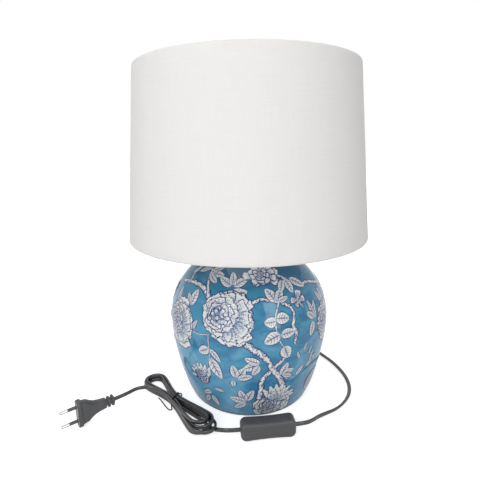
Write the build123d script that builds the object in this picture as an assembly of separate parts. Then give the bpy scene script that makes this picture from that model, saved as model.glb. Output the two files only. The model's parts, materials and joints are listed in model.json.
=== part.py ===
"""Ginger jar table lamp: glazed jar, drum shade, lampholder, switched cord and plug.

Lengths are millimetres, angles are degrees. The origin is the centre of the felt's
underside, on the table. +Z is up, the viewer stands on the -Y side, and the cord
leaves the jar at the back (+Y), comes round the right side and lies in front.
"""
from build123d import *
import math
import os

# ---------------------------------------------------------------- driving dimensions

# Jar
FELT_T = 1.6
FELT_INSET = 1.8
FOOT_SLOPE = 0.48
FOOT_RING_W = 11.0
BELLY_R = 104.3
FOOT_R = BELLY_R * 0.78
LOWER_R = BELLY_R * 0.91
LOWER_Z = 42.0
BELLY_Z = 107.0
SHOULDER_RISE = 94.0
NECK_R = 38.5
NECK_COVE_R = 4.0
LIP_Z = 203.0
JAR_WALL = 5.0
FLOOR_Z = 30.0
FLOOR_T = 6.0
CORD_EXIT_Z = 12.0

# Centre rod and its stack (M10 x 1 lamp tube)
ROD_R = 5.0
ROD_BORE_R = 4.0
ROD_FIT = 0.1
ROD_TAIL = 3.0
RUBBER_R = 17.0
RUBBER_T = 1.5
WASHER_R = 20.0
WASHER_T = 1.6
BASE_NUT_AF = 17.0
BASE_NUT_H = 5.0
GASKET_T = 1.5
CAP_OVERHANG = 2.0
CAP_SKIRT = 5.0
CAP_T = 1.4
CAP_RISE = 7.5
CAP_HUB_R = 10.0
SLEEVE_R = 8.0
SLEEVE_H = 10.0
LOCK_NUT_AF = 14.0
LOCK_NUT_H = 3.5

# Lampholder (E27)
HOLDER_R = 20.0
HOLDER_WALL = 2.2
HOLDER_CAP_H = 21.0
HOLDER_SKIRT_R = 19.5
HOLDER_SKIRT_BORE_R = 17.2
HOLDER_SEAT_H = 8.0
HOLDER_SEAT_R = 27.0
HOLDER_SEAT_T = 2.5
HOLDER_BODY_H = 38.0
INSERT_H = 12.0
INSERT_GAP = 0.3
SHELL_BORE_R = 13.4
SHELL_WALL = 0.5
SHELL_H = 23.0
LEAF_W = 6.0
LEAF_T = 0.8
CONTACT_DROP = 0.4
TERMINAL_R = 2.2
TERMINAL_OFFSET = 9.5
TERMINAL_H = 3.0
RING_GAP = 0.3
THREAD_CLEARANCE = 0.06
SHADE_RING_WALL = 2.6
SHADE_RING_FLANGE_R = 27.5
SHADE_RING_FLANGE_T = 2.0
SHADE_RING_H = 12.0
SHADE_RING_RIBS = 24
SHADE_RING_RIB_R = 0.8

# Shade
SHADE_BOTTOM_R = 150.0
SHADE_TOP_R = 132.0
SHADE_BOTTOM_Z = 214.4
SHADE_H = 201.0
FABRIC_T = 0.9
LINER_T = 0.7
WIRE_R = 1.6
WIRE_FIT = 0.15
HEM = 12.0
HEM_FLAT = 4.0

# Fitter frame inside the shade
FITTER_BORE_R = 21.0
FITTER_BAND = 8.0
WELD_LAP = 0.6
FITTER_T = 1.6
ARM_COUNT = 3
ARM_R = 1.5
ARM_FOOT = 13.0
ARM_FOOT_RISE = 2.5
ARM_HEAD = 9.0
ARM_BEND_R = 6.0
ARM_ANGLE = 90.0
ARM_NOTCH_GAP = 0.25

# Cord
CORD_R = 2.1
CORD_FLOOR_Z = 2.25
CORD_IN_ROD_BEND_R = 12.0
GROMMET_FIT = 0.1
GROMMET_BODY_R = 5.0
GROMMET_FLANGE_R = 7.5
GROMMET_FLANGE_T = 2.2
GROMMET_TAIL = 24.0
GROMMET_TIP_R = 3.3
CORD_GRIP_T = 3.0
CORD_GRIP_W = 8.0

# In-line switch
SWITCH_L = 63.6
SWITCH_W = 23.6
SWITCH_WAIST = 20.6
SWITCH_T = 18.0
SWITCH_CORNER_R = 5.0
SWITCH_EDGE_R = 2.4
SWITCH_BASE_T = 5.0
SWITCH_WALL = 1.9
SWITCH_POS = (18.35, -114.2)
SWITCH_AZ = 6.8
ROCKER_L = 18.0
ROCKER_W = 9.2
ROCKER_STAND = 2.2
ROCKER_DEPTH = 9.5
ROCKER_DISH = 2.0
ROCKER_TILT = 7.0
ROCKER_SIDE_GAP = 0.4
ROCKER_END_GAP = 1.1
PIN_R = 1.0
PIN_RUNNING_GAP = 0.05
PIN_SEAT = 1.8
PIN_DROP = 5.0
CONTACT_L = 20.0
CONTACT_W = 5.0
CONTACT_T = 1.2
CONTACT_X = 16.0

# Plug
PLUG_END = (-172.2, -67.2)
PLUG_AZ = 217.8
PLUG_FLANGE_W = 35.0
PLUG_FLANGE_D = 13.6
PLUG_FLANGE_T = 4.5
PLUG_L = 45.0
PLUG_FACE_T = 1.2
PLUG_FACE_INSET = 1.6
BOOT_L = 11.0
BOOT_CORE_R = 3.8
BOOT_RIB_W = 13.0
BOOT_RIB_D = 10.5
BOOT_RIB_T = 2.8
BOOT_RIBS = 2
PIN_PITCH = 18.6
PLUG_PIN_R = 2.0
PLUG_PIN_L = 19.0
PLUG_PIN_ROUND = 1.2
PLUG_PIN_NECK_R = 1.4
PLUG_SLEEVE_R = PLUG_PIN_R
PLUG_SLEEVE_L = 10.0
PLUG_PIN_ROOT = 6.0

# Hank: eight strands at the waist in two layers, drawn in by a tie
HANK_POS = (-100.0, -52.0)
HANK_AZ = -50.3
HANK_LOOPS = 2
HANK_LAYERS = 2
STRAND_PITCH = 5.8
LOOP_PITCH = 5.4
LAYER_PITCH = 5.1
WAIST_Z = 3.5
UPPER_APEX = 70.0
LOWER_APEX = 71.0
LOOP_HALF_W = 13.0
UPPER_FAN = 7.0
LOWER_FAN = 6.0
LOWER_LIFT = 7.6
ENTRY_U = 56.0
ENTRY_V = 7.0
EXIT_U = 10.0
EXIT_V = -10.5
EXIT_Z = 14.2
HANK_STEP = 1.5
HANK_LEAST_GAP = 0.4
TIE_R = 0.55
TIE_GAP = 0.15
TIE_TAIL = 9.0

# ------------------------------------------------------------------- derived places

COS_SWITCH = math.cos(math.radians(SWITCH_AZ))
SIN_SWITCH = math.sin(math.radians(SWITCH_AZ))
FLOOR_TOP_Z = FLOOR_Z + FLOOR_T
STACK_Z = FLOOR_Z - RUBBER_T - WASHER_T
ROD_BOTTOM_Z = STACK_Z - BASE_NUT_H - ROD_TAIL
CAP_SEAT_Z = LIP_Z + GASKET_T
CAP_TOP_Z = CAP_SEAT_Z + CAP_RISE
HOLDER_Z = CAP_TOP_Z + SLEEVE_H
LOCK_NUT_Z = HOLDER_Z + HOLDER_WALL
ROD_TOP_Z = LOCK_NUT_Z + LOCK_NUT_H + ROD_TAIL
BODY_Z = HOLDER_Z + HOLDER_CAP_H
SEAT_TOP_Z = BODY_Z + HOLDER_SEAT_H + HOLDER_SEAT_T
INSERT_Z = BODY_Z
SHELL_Z = INSERT_Z + INSERT_H
FITTER_Z = SEAT_TOP_Z + RING_GAP
SHADE_RING_Z = FITTER_Z + FITTER_T + RING_GAP
GROMMET_BORE_R = CORD_R + GROMMET_FIT
ROLL_R = FABRIC_T + WIRE_R
LINER_IN = FABRIC_T + LINER_T
SLANT = math.hypot(SHADE_BOTTOM_R - SHADE_TOP_R, SHADE_H)
UP_SLANT = ((SHADE_TOP_R - SHADE_BOTTOM_R) / SLANT, SHADE_H / SLANT)
INWARD = (-UP_SLANT[1], UP_SLANT[0])


# --------------------------------------------------------------------------- helpers

def save(name, shape):
    """Write one sub-part under its own name."""
    shape.label = name
    export_step(shape, f"parts/{name}.step")


def turned(*edges):
    """Solid of revolution about the lamp's axis, from a closed (radius, height) outline."""
    return revolve(Plane.XZ * make_face(list(edges)), Axis.Z)


def turned_polygon(*points):
    """Solid of revolution from a closed polygon of (radius, height) points."""
    return turned(Polyline(*points, close=True))


def tube(r_in, r_out, z_low, z_high):
    """Plain round tube, disc or washer on the lamp's axis."""
    return turned_polygon((r_in, z_low), (r_out, z_low), (r_out, z_high), (r_in, z_high))


def hex_nut(across_flats, bore_r, z_low, height):
    """Hexagon nut on the lamp's axis."""
    flats = RegularPolygon(across_flats / 2, 6, major_radius=False)
    return Pos(0, 0, z_low) * extrude(flats - Circle(bore_r), height)


def route_arcs(points, share=0.45):
    """Radius of the arc at each inner point of a route, from the shorter run beside it."""
    radii = []
    for before, here, after in zip(points, points[1:], points[2:]):
        run_in = Vector(*here) - Vector(*before)
        run_out = Vector(*after) - Vector(*here)
        half_turn = math.radians(run_in.get_angle(run_out)) / 2
        radii.append(share * min(run_in.length, run_out.length) / math.tan(half_turn))
    return radii


def cord_tube(name, points):
    """Tube of the cord's section along straight runs joined by tangent arcs."""
    radii = route_arcs(points)
    path = FilletPolyline(*points, radius=radii)
    start = Plane(origin=path @ 0, z_dir=path % 0)
    solid = sweep(start * Circle(CORD_R), path=path)
    expected = math.pi * CORD_R ** 2 * path.length
    print(f"{name}: length {path.length:.1f}, least radius {min(radii):.1f},",
          f"volume ratio {solid.volume / expected:.4f}")
    return solid


# ------------------------------------------------------------------------------- jar

def shoulder_angle(radius, wall):
    """Angle on the shoulder's ellipse at which it is this far from the axis."""
    return math.degrees(math.acos(radius / (BELLY_R - wall)))


def jar_side(wall, z_low, foot_r):
    """Lower wall of the jar, from the foot up to the belly, at a depth below the glaze."""
    slope = math.hypot(FOOT_SLOPE, 1)
    return Spline((foot_r, z_low), (LOWER_R - wall, LOWER_Z), (BELLY_R - wall, BELLY_Z),
                  tangents=[(FOOT_SLOPE / slope, 1 / slope), (0, 1)])


def jar_outline(wall, z_low, foot_r, neck_r, z_high):
    """Foot, belly, shoulder and neck as one closed outline, at a depth below the glaze."""
    top = shoulder_angle(neck_r, wall)
    side = jar_side(wall, z_low, foot_r)
    shoulder = EllipticalCenterArc((0, BELLY_Z), BELLY_R - wall, SHOULDER_RISE - wall,
                                   start_angle=0, arc_size=top)
    neck_z = (shoulder @ 1).Y
    return [side, shoulder, Line((neck_r, neck_z), (neck_r, z_high)),
            Line((neck_r, z_high), (0, z_high)), Line((0, z_high), (0, z_low)),
            Line((0, z_low), (foot_r, z_low))]


def inner_foot_r():
    """Radius of the jar's inner wall where it meets the floor."""
    side = jar_side(0, FELT_T, FOOT_R)
    crossing = side.intersect(Line((0, FLOOR_TOP_Z), (2 * BELLY_R, FLOOR_TOP_Z)))
    points = crossing.vertices() if hasattr(crossing, "vertices") else [crossing[0]]
    return points[0].X - JAR_WALL


def jar_blank():
    """Outside of the jar as one solid, with the neck's cove and the eased foot."""
    blank = turned(*jar_outline(0, FELT_T, FOOT_R, NECK_R, LIP_Z))
    neck_edge = blank.edges().filter_by(GeomType.CIRCLE).sort_by(Axis.Z)[-2]
    blank = fillet(neck_edge, NECK_COVE_R)
    foot_edge = blank.edges().filter_by(GeomType.CIRCLE).sort_by(Axis.Z)[0]
    return fillet(foot_edge, JAR_WALL / 4)


def cord_hole():
    """Cylinder along the cord's way out, for the hole through the back of the foot."""
    hole = Plane(origin=(0, FOOT_R / 2, CORD_EXIT_Z), z_dir=(0, 1, 0)) * Circle(GROMMET_BODY_R)
    return extrude(hole, FOOT_R)


def jar_body():
    """Hollow jar with a raised floor, a foot ring and an open neck with a rounded lip."""
    hollow = turned(*jar_outline(JAR_WALL, FLOOR_TOP_Z, inner_foot_r(), NECK_R - JAR_WALL,
                                 LIP_Z))
    recess_r = FOOT_R - FOOT_RING_W
    recess = turned_polygon((0, FELT_T), (recess_r, FELT_T), (recess_r - 1, FLOOR_Z), (0, FLOOR_Z))
    rod_hole = tube(0, ROD_R + ROD_FIT, FLOOR_Z, FLOOR_TOP_Z)
    jar = jar_blank() - hollow - recess - rod_hole - cord_hole()
    lip = jar.edges().filter_by(GeomType.CIRCLE).sort_by(Axis.Z)[-2:]
    return fillet(lip, JAR_WALL * 0.3)


def base_parts(jar):
    """Felt, floor stack, rod and cap: what clamps the jar together."""
    stack_bore = ROD_R + ROD_FIT
    washer_top = FLOOR_Z - RUBBER_T
    cap_r = NECK_R + CAP_OVERHANG + CAP_T
    skirt_r = cap_r - CAP_T
    skirt_z = CAP_SEAT_Z - CAP_SKIRT
    dome = ThreePointArc((cap_r, CAP_SEAT_Z + CAP_T),
                         ((cap_r + CAP_HUB_R) / 2, CAP_TOP_Z - CAP_T),
                         (CAP_HUB_R, CAP_TOP_Z))
    cap = turned(
        dome,
        Polyline((CAP_HUB_R, CAP_TOP_Z), (stack_bore, CAP_TOP_Z), (stack_bore, CAP_SEAT_Z),
                 (skirt_r, CAP_SEAT_Z), (skirt_r, skirt_z), (cap_r, skirt_z),
                 (cap_r, CAP_SEAT_Z + CAP_T)))
    lip_in = NECK_R - JAR_WALL + JAR_WALL * 0.3
    save("felt_base", tube(0, FOOT_R - FELT_INSET, 0, FELT_T))
    save("jar_body", jar)
    save("rubber_washer", tube(stack_bore, RUBBER_R, washer_top, FLOOR_Z))
    save("base_washer", tube(stack_bore, WASHER_R, STACK_Z, washer_top))
    save("base_nut", hex_nut(BASE_NUT_AF, stack_bore, STACK_Z - BASE_NUT_H, BASE_NUT_H))
    save("centre_rod", tube(ROD_BORE_R, ROD_R, ROD_BOTTOM_Z, ROD_TOP_Z))
    save("cap_gasket", tube(lip_in, NECK_R - JAR_WALL * 0.3, LIP_Z, CAP_SEAT_Z))
    save("vase_cap", cap)
    save("neck_sleeve", tube(stack_bore, SLEEVE_R, CAP_TOP_Z, HOLDER_Z))
    save("rod_lock_nut", hex_nut(LOCK_NUT_AF, stack_bore, LOCK_NUT_Z, LOCK_NUT_H))


# ----------------------------------------------------------------------- lampholder

def holder_cap():
    """Domed cap of the lampholder, with the rod's entry in its base."""
    bore = ROD_R + ROD_FIT
    inner_r = HOLDER_R - HOLDER_WALL
    foot_r = SLEEVE_R + HOLDER_WALL
    shoulder_z = HOLDER_Z + HOLDER_CAP_H * 0.45
    outer = ThreePointArc((foot_r, HOLDER_Z), (HOLDER_R * 0.83, HOLDER_Z + HOLDER_CAP_H * 0.14),
                          (HOLDER_R, shoulder_z))
    inner = ThreePointArc((inner_r, shoulder_z), (HOLDER_R * 0.74, HOLDER_Z + HOLDER_CAP_H * 0.24),
                          (foot_r, LOCK_NUT_Z))
    return turned(
        outer, Line((HOLDER_R, shoulder_z), (HOLDER_R, BODY_Z)),
        Line((HOLDER_R, BODY_Z), (inner_r, BODY_Z)), Line((inner_r, BODY_Z), (inner_r, shoulder_z)),
        inner, Line((foot_r, LOCK_NUT_Z), (bore, LOCK_NUT_Z)),
        Line((bore, LOCK_NUT_Z), (bore, HOLDER_Z)), Line((bore, HOLDER_Z), (foot_r, HOLDER_Z)))


def holder_body():
    """Skirt of the lampholder, with the seat that the shade's fitter lies on."""
    seat_z = BODY_Z + HOLDER_SEAT_H
    return turned_polygon(
        (HOLDER_SKIRT_BORE_R, BODY_Z), (HOLDER_R, BODY_Z), (HOLDER_R, seat_z),
        (HOLDER_SEAT_R, seat_z), (HOLDER_SEAT_R, SEAT_TOP_Z), (HOLDER_SKIRT_R, SEAT_TOP_Z),
        (HOLDER_SKIRT_R, BODY_Z + HOLDER_BODY_H), (HOLDER_SKIRT_BORE_R, BODY_Z + HOLDER_BODY_H))


def shade_ring():
    """Screw-on collar that clamps the fitter, with finger ribs round its wall."""
    bore = HOLDER_SKIRT_R + THREAD_CLEARANCE
    wall_r = bore + SHADE_RING_WALL
    flange_top = SHADE_RING_Z + SHADE_RING_FLANGE_T
    top = SHADE_RING_Z + SHADE_RING_H
    collar = turned_polygon((bore, SHADE_RING_Z), (SHADE_RING_FLANGE_R, SHADE_RING_Z),
                            (SHADE_RING_FLANGE_R, flange_top), (wall_r, flange_top),
                            (wall_r, top), (bore, top))
    rib = extrude(Circle(SHADE_RING_RIB_R), SHADE_RING_H - SHADE_RING_FLANGE_T)
    ribs = [place * rib for place in PolarLocations(wall_r, SHADE_RING_RIBS)]
    return collar + [Pos(0, 0, flange_top) * one for one in ribs]


def lampholder_parts():
    """Cap, skirt, insulating insert, contacts and cord grip of the lampholder."""
    insert_r = HOLDER_SKIRT_BORE_R - INSERT_GAP
    well_r = SHELL_BORE_R - SHELL_WALL
    well_z = SHELL_Z - INSERT_H / 2
    insert = tube(0, insert_r, INSERT_Z, SHELL_Z) - tube(0, well_r, well_z, SHELL_Z)
    leaf_rise = SHELL_Z - CONTACT_DROP
    leaf = extrude(Plane.XZ * make_face(Polyline(
        (-well_r + LEAF_T, well_z), (LEAF_W / 2, leaf_rise), (LEAF_W / 2, leaf_rise - LEAF_T),
        (-well_r + 3 * LEAF_T, well_z), close=True)), LEAF_W / 2, both=True)
    leaf_x = math.sqrt(well_r ** 2 - (LEAF_W / 2) ** 2) - LEAF_T
    side_leaf = Pos(leaf_x, 0, well_z) * Box(
        LEAF_T, LEAF_W, INSERT_H / 2, align=(Align.MIN, Align.CENTER, Align.MIN))
    screws = [Pos(0, side * TERMINAL_OFFSET, INSERT_Z - TERMINAL_H) * extrude(
        Circle(TERMINAL_R), TERMINAL_H) for side in (-1, 1)]
    grip_z = ROD_TOP_Z + 1
    grip = Pos(0, 0, grip_z) * extrude(
        Rectangle(HOLDER_R, CORD_GRIP_W) - Circle(CORD_R + GROMMET_FIT), CORD_GRIP_T)
    save("holder_cap", holder_cap())
    save("holder_body", holder_body())
    save("holder_insert", insert)
    save("screw_shell", tube(SHELL_BORE_R, SHELL_BORE_R + SHELL_WALL, SHELL_Z, SHELL_Z + SHELL_H))
    save("centre_contact", leaf)
    save("side_contact", side_leaf)
    save("terminal_screws", Compound(children=screws))
    save("cord_grip", grip)
    save("shade_ring", shade_ring())


# ---------------------------------------------------------------------------- shade

def on_shade(up, depth):
    """(radius, height) of a point this far up the slant and this deep below the cloth."""
    return (SHADE_BOTTOM_R + up * UP_SLANT[0] + depth * INWARD[0],
            SHADE_BOTTOM_Z + up * UP_SLANT[1] + depth * INWARD[1])


def hem_edges(end, way):
    """Cloth turned round the wire at one rim; end is the rim's slant, way is 1 or -1 along it."""
    def at(up, depth):
        return on_shade(end + way * up, depth)
    past_wire = ROLL_R + WIRE_R / 2
    return [
        ThreePointArc(at(ROLL_R, 0), at(0, ROLL_R), at(ROLL_R, 2 * ROLL_R)),
        Polyline(at(ROLL_R, 2 * ROLL_R), at(past_wire, 2 * ROLL_R),
                 at(HEM - HEM_FLAT, LINER_IN + FABRIC_T), at(HEM, LINER_IN + FABRIC_T),
                 at(HEM, LINER_IN), at(HEM - HEM_FLAT, LINER_IN),
                 at(past_wire, 2 * ROLL_R - FABRIC_T), at(ROLL_R, 2 * ROLL_R - FABRIC_T)),
        ThreePointArc(at(ROLL_R, 2 * ROLL_R - FABRIC_T), at(FABRIC_T, ROLL_R),
                      at(ROLL_R, FABRIC_T))]


def arm_wire(radius, angle):
    """One fitter arm: out of the bottom wire, up the slope and level into the fitter ring."""
    wire_r, wire_z = on_shade(ROLL_R, ROLL_R)
    head_r = FITTER_BORE_R + FITTER_BAND - WELD_LAP
    head_z = FITTER_Z + FITTER_T / 2
    path = FilletPolyline((wire_r, 0, wire_z), (wire_r - ARM_FOOT, 0, wire_z + ARM_FOOT_RISE),
                          (head_r + ARM_HEAD, 0, head_z), (head_r, 0, head_z), radius=ARM_BEND_R)
    arm = sweep(Plane(origin=path @ 0, z_dir=path % 0) * Circle(radius), path=path)
    return Rot(0, 0, angle) * arm


def arm_angles():
    """Directions of the fitter arms about the lamp's axis."""
    return [ARM_ANGLE + i * 360 / ARM_COUNT for i in range(ARM_COUNT)]


def rim_wire(up):
    """Round wire ring inside a rim's rolled hem."""
    radius, height = on_shade(up, ROLL_R)
    return Pos(0, 0, height) * Torus(radius, WIRE_R - WIRE_FIT)


def shade_parts():
    """Cloth, stiff liner, rim wires, and the fitter ring on its three welded arms."""
    outline = (hem_edges(0, 1) + hem_edges(SLANT, -1) + [
        Line(on_shade(ROLL_R, 0), on_shade(SLANT - ROLL_R, 0)),
        Line(on_shade(ROLL_R, FABRIC_T), on_shade(SLANT - ROLL_R, FABRIC_T))])
    fabric = turned(*outline)
    for angle in arm_angles():
        fabric -= arm_wire(ARM_R + ARM_NOTCH_GAP, angle)
    margin = 2 * ROLL_R + WIRE_FIT
    liner = turned_polygon(on_shade(margin, FABRIC_T), on_shade(SLANT - margin, FABRIC_T),
                           on_shade(SLANT - margin, LINER_IN), on_shade(margin, LINER_IN))
    bottom_ring = rim_wire(ROLL_R)
    fitter_ring = tube(FITTER_BORE_R, FITTER_BORE_R + FITTER_BAND, FITTER_Z, FITTER_Z + FITTER_T)
    arms = []
    for angle in arm_angles():
        arm = arm_wire(ARM_R, angle) - bottom_ring - fitter_ring
        arms.append(arm.solids().sort_by(SortBy.VOLUME)[-1])
    save("shade_fabric", fabric)
    save("shade_liner", liner)
    save("top_ring", rim_wire(SLANT - ROLL_R))
    save("bottom_ring", bottom_ring)
    save("fitter_arms", Compound(children=arms))
    save("fitter_ring", fitter_ring)


# ----------------------------------------------------------------------------- cord

def grommet_wall_y():
    """Where the cord's axis leaves the jar's wall at the back."""
    side = jar_side(0, FELT_T, FOOT_R)
    crossing = side.intersect(Line((0, CORD_EXIT_Z), (2 * BELLY_R, CORD_EXIT_Z)))
    points = crossing.vertices() if hasattr(crossing, "vertices") else [crossing[0]]
    return points[0].X


def cord_grommet(jar, wall_y):
    """Rubber bush in the foot's wall, with a flange that fits the jar and a tapered tail."""
    inner_y = FOOT_R - FOOT_RING_W - GROMMET_FLANGE_T
    tip_y = wall_y + GROMMET_FLANGE_T + GROMMET_TAIL
    root_y = wall_y + GROMMET_FLANGE_T
    half = Polyline((0, inner_y), (GROMMET_BODY_R, inner_y), (GROMMET_BODY_R, wall_y - JAR_WALL),
                    (GROMMET_FLANGE_R, wall_y - JAR_WALL), (GROMMET_FLANGE_R, root_y),
                    (GROMMET_BODY_R, root_y), (GROMMET_TIP_R, tip_y), (0, tip_y), close=True)
    bush = Pos(0, 0, CORD_EXIT_Z) * revolve(make_face(half), Axis.Y)
    bore = Plane(origin=(0, 0, CORD_EXIT_Z), z_dir=(0, 1, 0)) * Circle(GROMMET_BORE_R)
    bush = bush - jar - extrude(bore, 2 * tip_y)
    return bush.solids().sort_by(SortBy.VOLUME)[-1]


def inner_cord(tip_y):
    """Cord held all the way: from the lampholder down the rod and out through the bush."""
    bend_z = CORD_EXIT_Z + CORD_IN_ROD_BEND_R
    top_z = INSERT_Z - TERMINAL_H - 1
    down = Line((0, 0, top_z), (0, 0, bend_z))
    bend = ThreePointArc(
        (0, 0, bend_z),
        (0, CORD_IN_ROD_BEND_R * (1 - math.sqrt(0.5)), bend_z - CORD_IN_ROD_BEND_R * math.sqrt(0.5)),
        (0, CORD_IN_ROD_BEND_R, CORD_EXIT_Z))
    out = Line((0, CORD_IN_ROD_BEND_R, CORD_EXIT_Z), (0, tip_y, CORD_EXIT_Z))
    path = Wire([down, bend, out])
    return sweep(Plane(origin=(0, 0, top_z), z_dir=(0, 0, -1)) * Circle(CORD_R), path=path)


def switch_port(side):
    """Point on the switch's end where the cord enters; side 1 is the right end."""
    reach = side * SWITCH_L / 2
    return (SWITCH_POS[0] + reach * COS_SWITCH, SWITCH_POS[1] + reach * SIN_SWITCH, switch_axis_z())


def switch_axis_z():
    """Height of the switch's axis when it stands on its long edge."""
    return SWITCH_W / 2 + 0.1


def beyond_port(side, run):
    """Point straight out of one end of the switch."""
    x, y, z = switch_port(side)
    return (x + side * run * COS_SWITCH, y + side * run * SIN_SWITCH, z)


def lamp_side_route(tip_y):
    """Round the back and right side of the jar to the switch's right end."""
    z = CORD_FLOOR_Z
    return [(0, tip_y, CORD_EXIT_Z), (0, tip_y + 16, CORD_EXIT_Z), (11, 143, 6), (32, 152, z), (64, 136, z),
            (92, 106, z), (112.5, 66, z), (130, 34, z), (139.5, -6, z), (134, -42, z),
            (112, -71.5, z), (84, -86, 3.8), (74.5, -98.5, 8.6), beyond_port(1, 14),
            switch_port(1)]


def hank_point(u, v, z):
    """World point from a place along (u) and across (v) the hank."""
    turn = math.radians(HANK_AZ)
    return (HANK_POS[0] + u * math.cos(turn) - v * math.sin(turn),
            HANK_POS[1] + u * math.sin(turn) + v * math.cos(turn), z)


def switch_side_route():
    """From the switch's left end down to the table and under the hank's lower loops."""
    start_u = ENTRY_U + 2 * CORD_R
    return [switch_port(-1), beyond_port(-1, 12), (-37.5, -115.8, 7.2),
            hank_point(start_u + 14, ENTRY_V, CORD_FLOOR_Z),
            hank_point(start_u, ENTRY_V, CORD_FLOOR_Z)]


def plug_side_route():
    """From the hank over its upper loops to the plug's boot."""
    z = PLUG_FLANGE_W / 2 + 0.1
    turn = math.radians(PLUG_AZ)
    end_u = EXIT_U - 2 * CORD_R
    return [hank_point(end_u, EXIT_V, EXIT_Z), hank_point(end_u - 12, EXIT_V, EXIT_Z),
            (-130, -43.5, 16.2), (-147.5, -45.5, z),
            (PLUG_END[0] - 15 * math.cos(turn), PLUG_END[1] - 15 * math.sin(turn), z),
            (*PLUG_END, z)]


# ----------------------------------------------------------------------------- hank

def strand_v(side, column):
    """Place of a strand across the waist; column 0 is next to the hank's axis."""
    return side * STRAND_PITCH * (column + 0.5)


def loop_w(column):
    """Half width of a loop that keeps to this column."""
    return LOOP_HALF_W + column * LOOP_PITCH


def hank_knots():
    """Points where the strand runs level along the hank, in order.

    The strand comes in low on the near side, winds outwards in the lower layer, climbs in
    the half turn at the lower end, winds inwards in the upper layer and leaves on top.
    Side -1 is the viewer's side. Each knot is (u, v, z); a turn is two knots in a row.
    """
    columns = list(range(HANK_LOOPS))
    order = [(layer, column) for layer in range(HANK_LAYERS)
             for column in (columns if layer % 2 == 0 else columns[::-1])]
    knots = [(ENTRY_U, ENTRY_V, CORD_FLOOR_Z)]
    for place, (layer, column) in enumerate(order):
        outer = HANK_LOOPS - 1 - column
        width = loop_w(column)
        low = CORD_FLOOR_Z + layer * LAYER_PITCH
        waist = WAIST_Z + layer * LAYER_PITCH
        turn_u = -(UPPER_APEX - outer * UPPER_FAN - width)
        knots += [(0, strand_v(-1, column), waist), (turn_u, -width, low),
                  (turn_u, width, low), (0, strand_v(1, column), waist)]
        last = place == len(order) - 1
        after_layer, after_column = (layer + 1, column) if last else order[place + 1]
        after_w = loop_w(after_column)
        widest = max(column, after_column)
        climbs = after_layer != layer
        apex = LOWER_APEX - (HANK_LOOPS - 1 - widest) * LOWER_FAN
        if climbs and not last:
            apex += LOWER_FAN
        lower_u = apex - (width + after_w) / 2
        lift = LOWER_LIFT + layer * LAYER_PITCH
        after_lift = LOWER_LIFT + after_layer * LAYER_PITCH
        knots += [(lower_u, width, lift), (lower_u, -after_w, after_lift)]
    return knots + [(EXIT_U, EXIT_V, EXIT_Z)]


def bow_point(start, end, along):
    """Middle of a half circle whose ends point along the hank."""
    middle = (start + end) / 2
    return middle + Vector(along * (end - start).length / 2, 0, 0)


def hank_segments():
    """The hank's strand as triples of points, one triple for each arc or straight end."""
    knots = [Vector(*knot) for knot in hank_knots()]
    lead_in = knots[0] + Vector(2 * CORD_R, 0, 0)
    lead_out = knots[-1] - Vector(2 * CORD_R, 0, 0)
    segments = [(lead_in, None, knots[0])]
    for start, end in zip(knots, knots[1:]):
        step = end - start
        if abs(step.X) < 1e-6:
            segments.append((start, bow_point(start, end, math.copysign(1, start.X)), end))
            continue
        half = (start + end) / 2
        across = Vector(0, step.Y, step.Z)
        quarter = bend_middle(step.X / 2, across.length / 2)
        side = across.normalized()
        rise = Vector(quarter[0], 0, 0) + side * quarter[1]
        segments.append((start, start + rise, half))
        segments.append((half, end - rise, end))
    segments.append((knots[-1], None, lead_out))
    return segments


def bend_middle(run, shift):
    """Middle point of an arc that starts along the hank, runs so far and shifts so far."""
    radius = (run ** 2 + shift ** 2) / (2 * shift)
    half = math.atan2(shift, abs(run))
    return (math.copysign(radius * math.sin(half), run), radius * (1 - math.cos(half)))


def hank_gap(path):
    """Least gap of the strand to itself, measured between points along it."""
    count = int(path.length / HANK_STEP)
    points = [path @ (i / count) for i in range(count + 1)]
    skip = int(3 * CORD_R * 2 / HANK_STEP)
    least = min((points[i] - points[j]).length
                for i in range(len(points)) for j in range(i + skip, len(points)))
    return least - 2 * CORD_R


def hank():
    """Cord folded up in loops as one unbroken tube."""
    turn = math.radians(HANK_AZ)
    frame = Plane(origin=(*HANK_POS, 0), x_dir=(math.cos(turn), math.sin(turn), 0))
    edges = [Line(a, c) if b is None else ThreePointArc(a, b, c) for a, b, c in hank_segments()]
    path = frame * Wire(edges)
    gap = hank_gap(path)
    print(f"cord_hank: length {path.length:.1f}, least gap to itself {gap:.2f}",
          f"(over {HANK_LEAST_GAP} wanted)")
    solid = sweep(Plane(origin=path @ 0, z_dir=path % 0) * Circle(CORD_R), path=path)
    print(f"cord_hank: volume ratio {solid.volume / (math.pi * CORD_R ** 2 * path.length):.4f}")
    return solid


def cord_tie():
    """Wire tie round the hank's waist, with its two ends twisted together beside it."""
    room = CORD_R + TIE_GAP + TIE_R
    half_w = strand_v(1, HANK_LOOPS - 1) + room
    low = WAIST_Z - room
    high = WAIST_Z + (HANK_LAYERS - 1) * LAYER_PITCH + room
    turn = math.radians(HANK_AZ)
    frame = Plane(origin=(*HANK_POS, 0), x_dir=(-math.sin(turn), math.cos(turn), 0),
                  z_dir=(math.cos(turn), math.sin(turn), 0))
    corner = room
    loop = fillet(Polyline((-half_w, low), (half_w, low), (half_w, high), (-half_w, high),
                           close=True).vertices(), corner)
    band = sweep(Plane(origin=loop @ 0, z_dir=loop % 0) * Circle(TIE_R), path=loop)
    stub = Plane(origin=(half_w, high - corner, 0), z_dir=(1, 0.35, 0)) * Circle(TIE_R * 1.7)
    return frame * (band + extrude(stub, TIE_TAIL))


# --------------------------------------------------------------------------- switch

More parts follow.
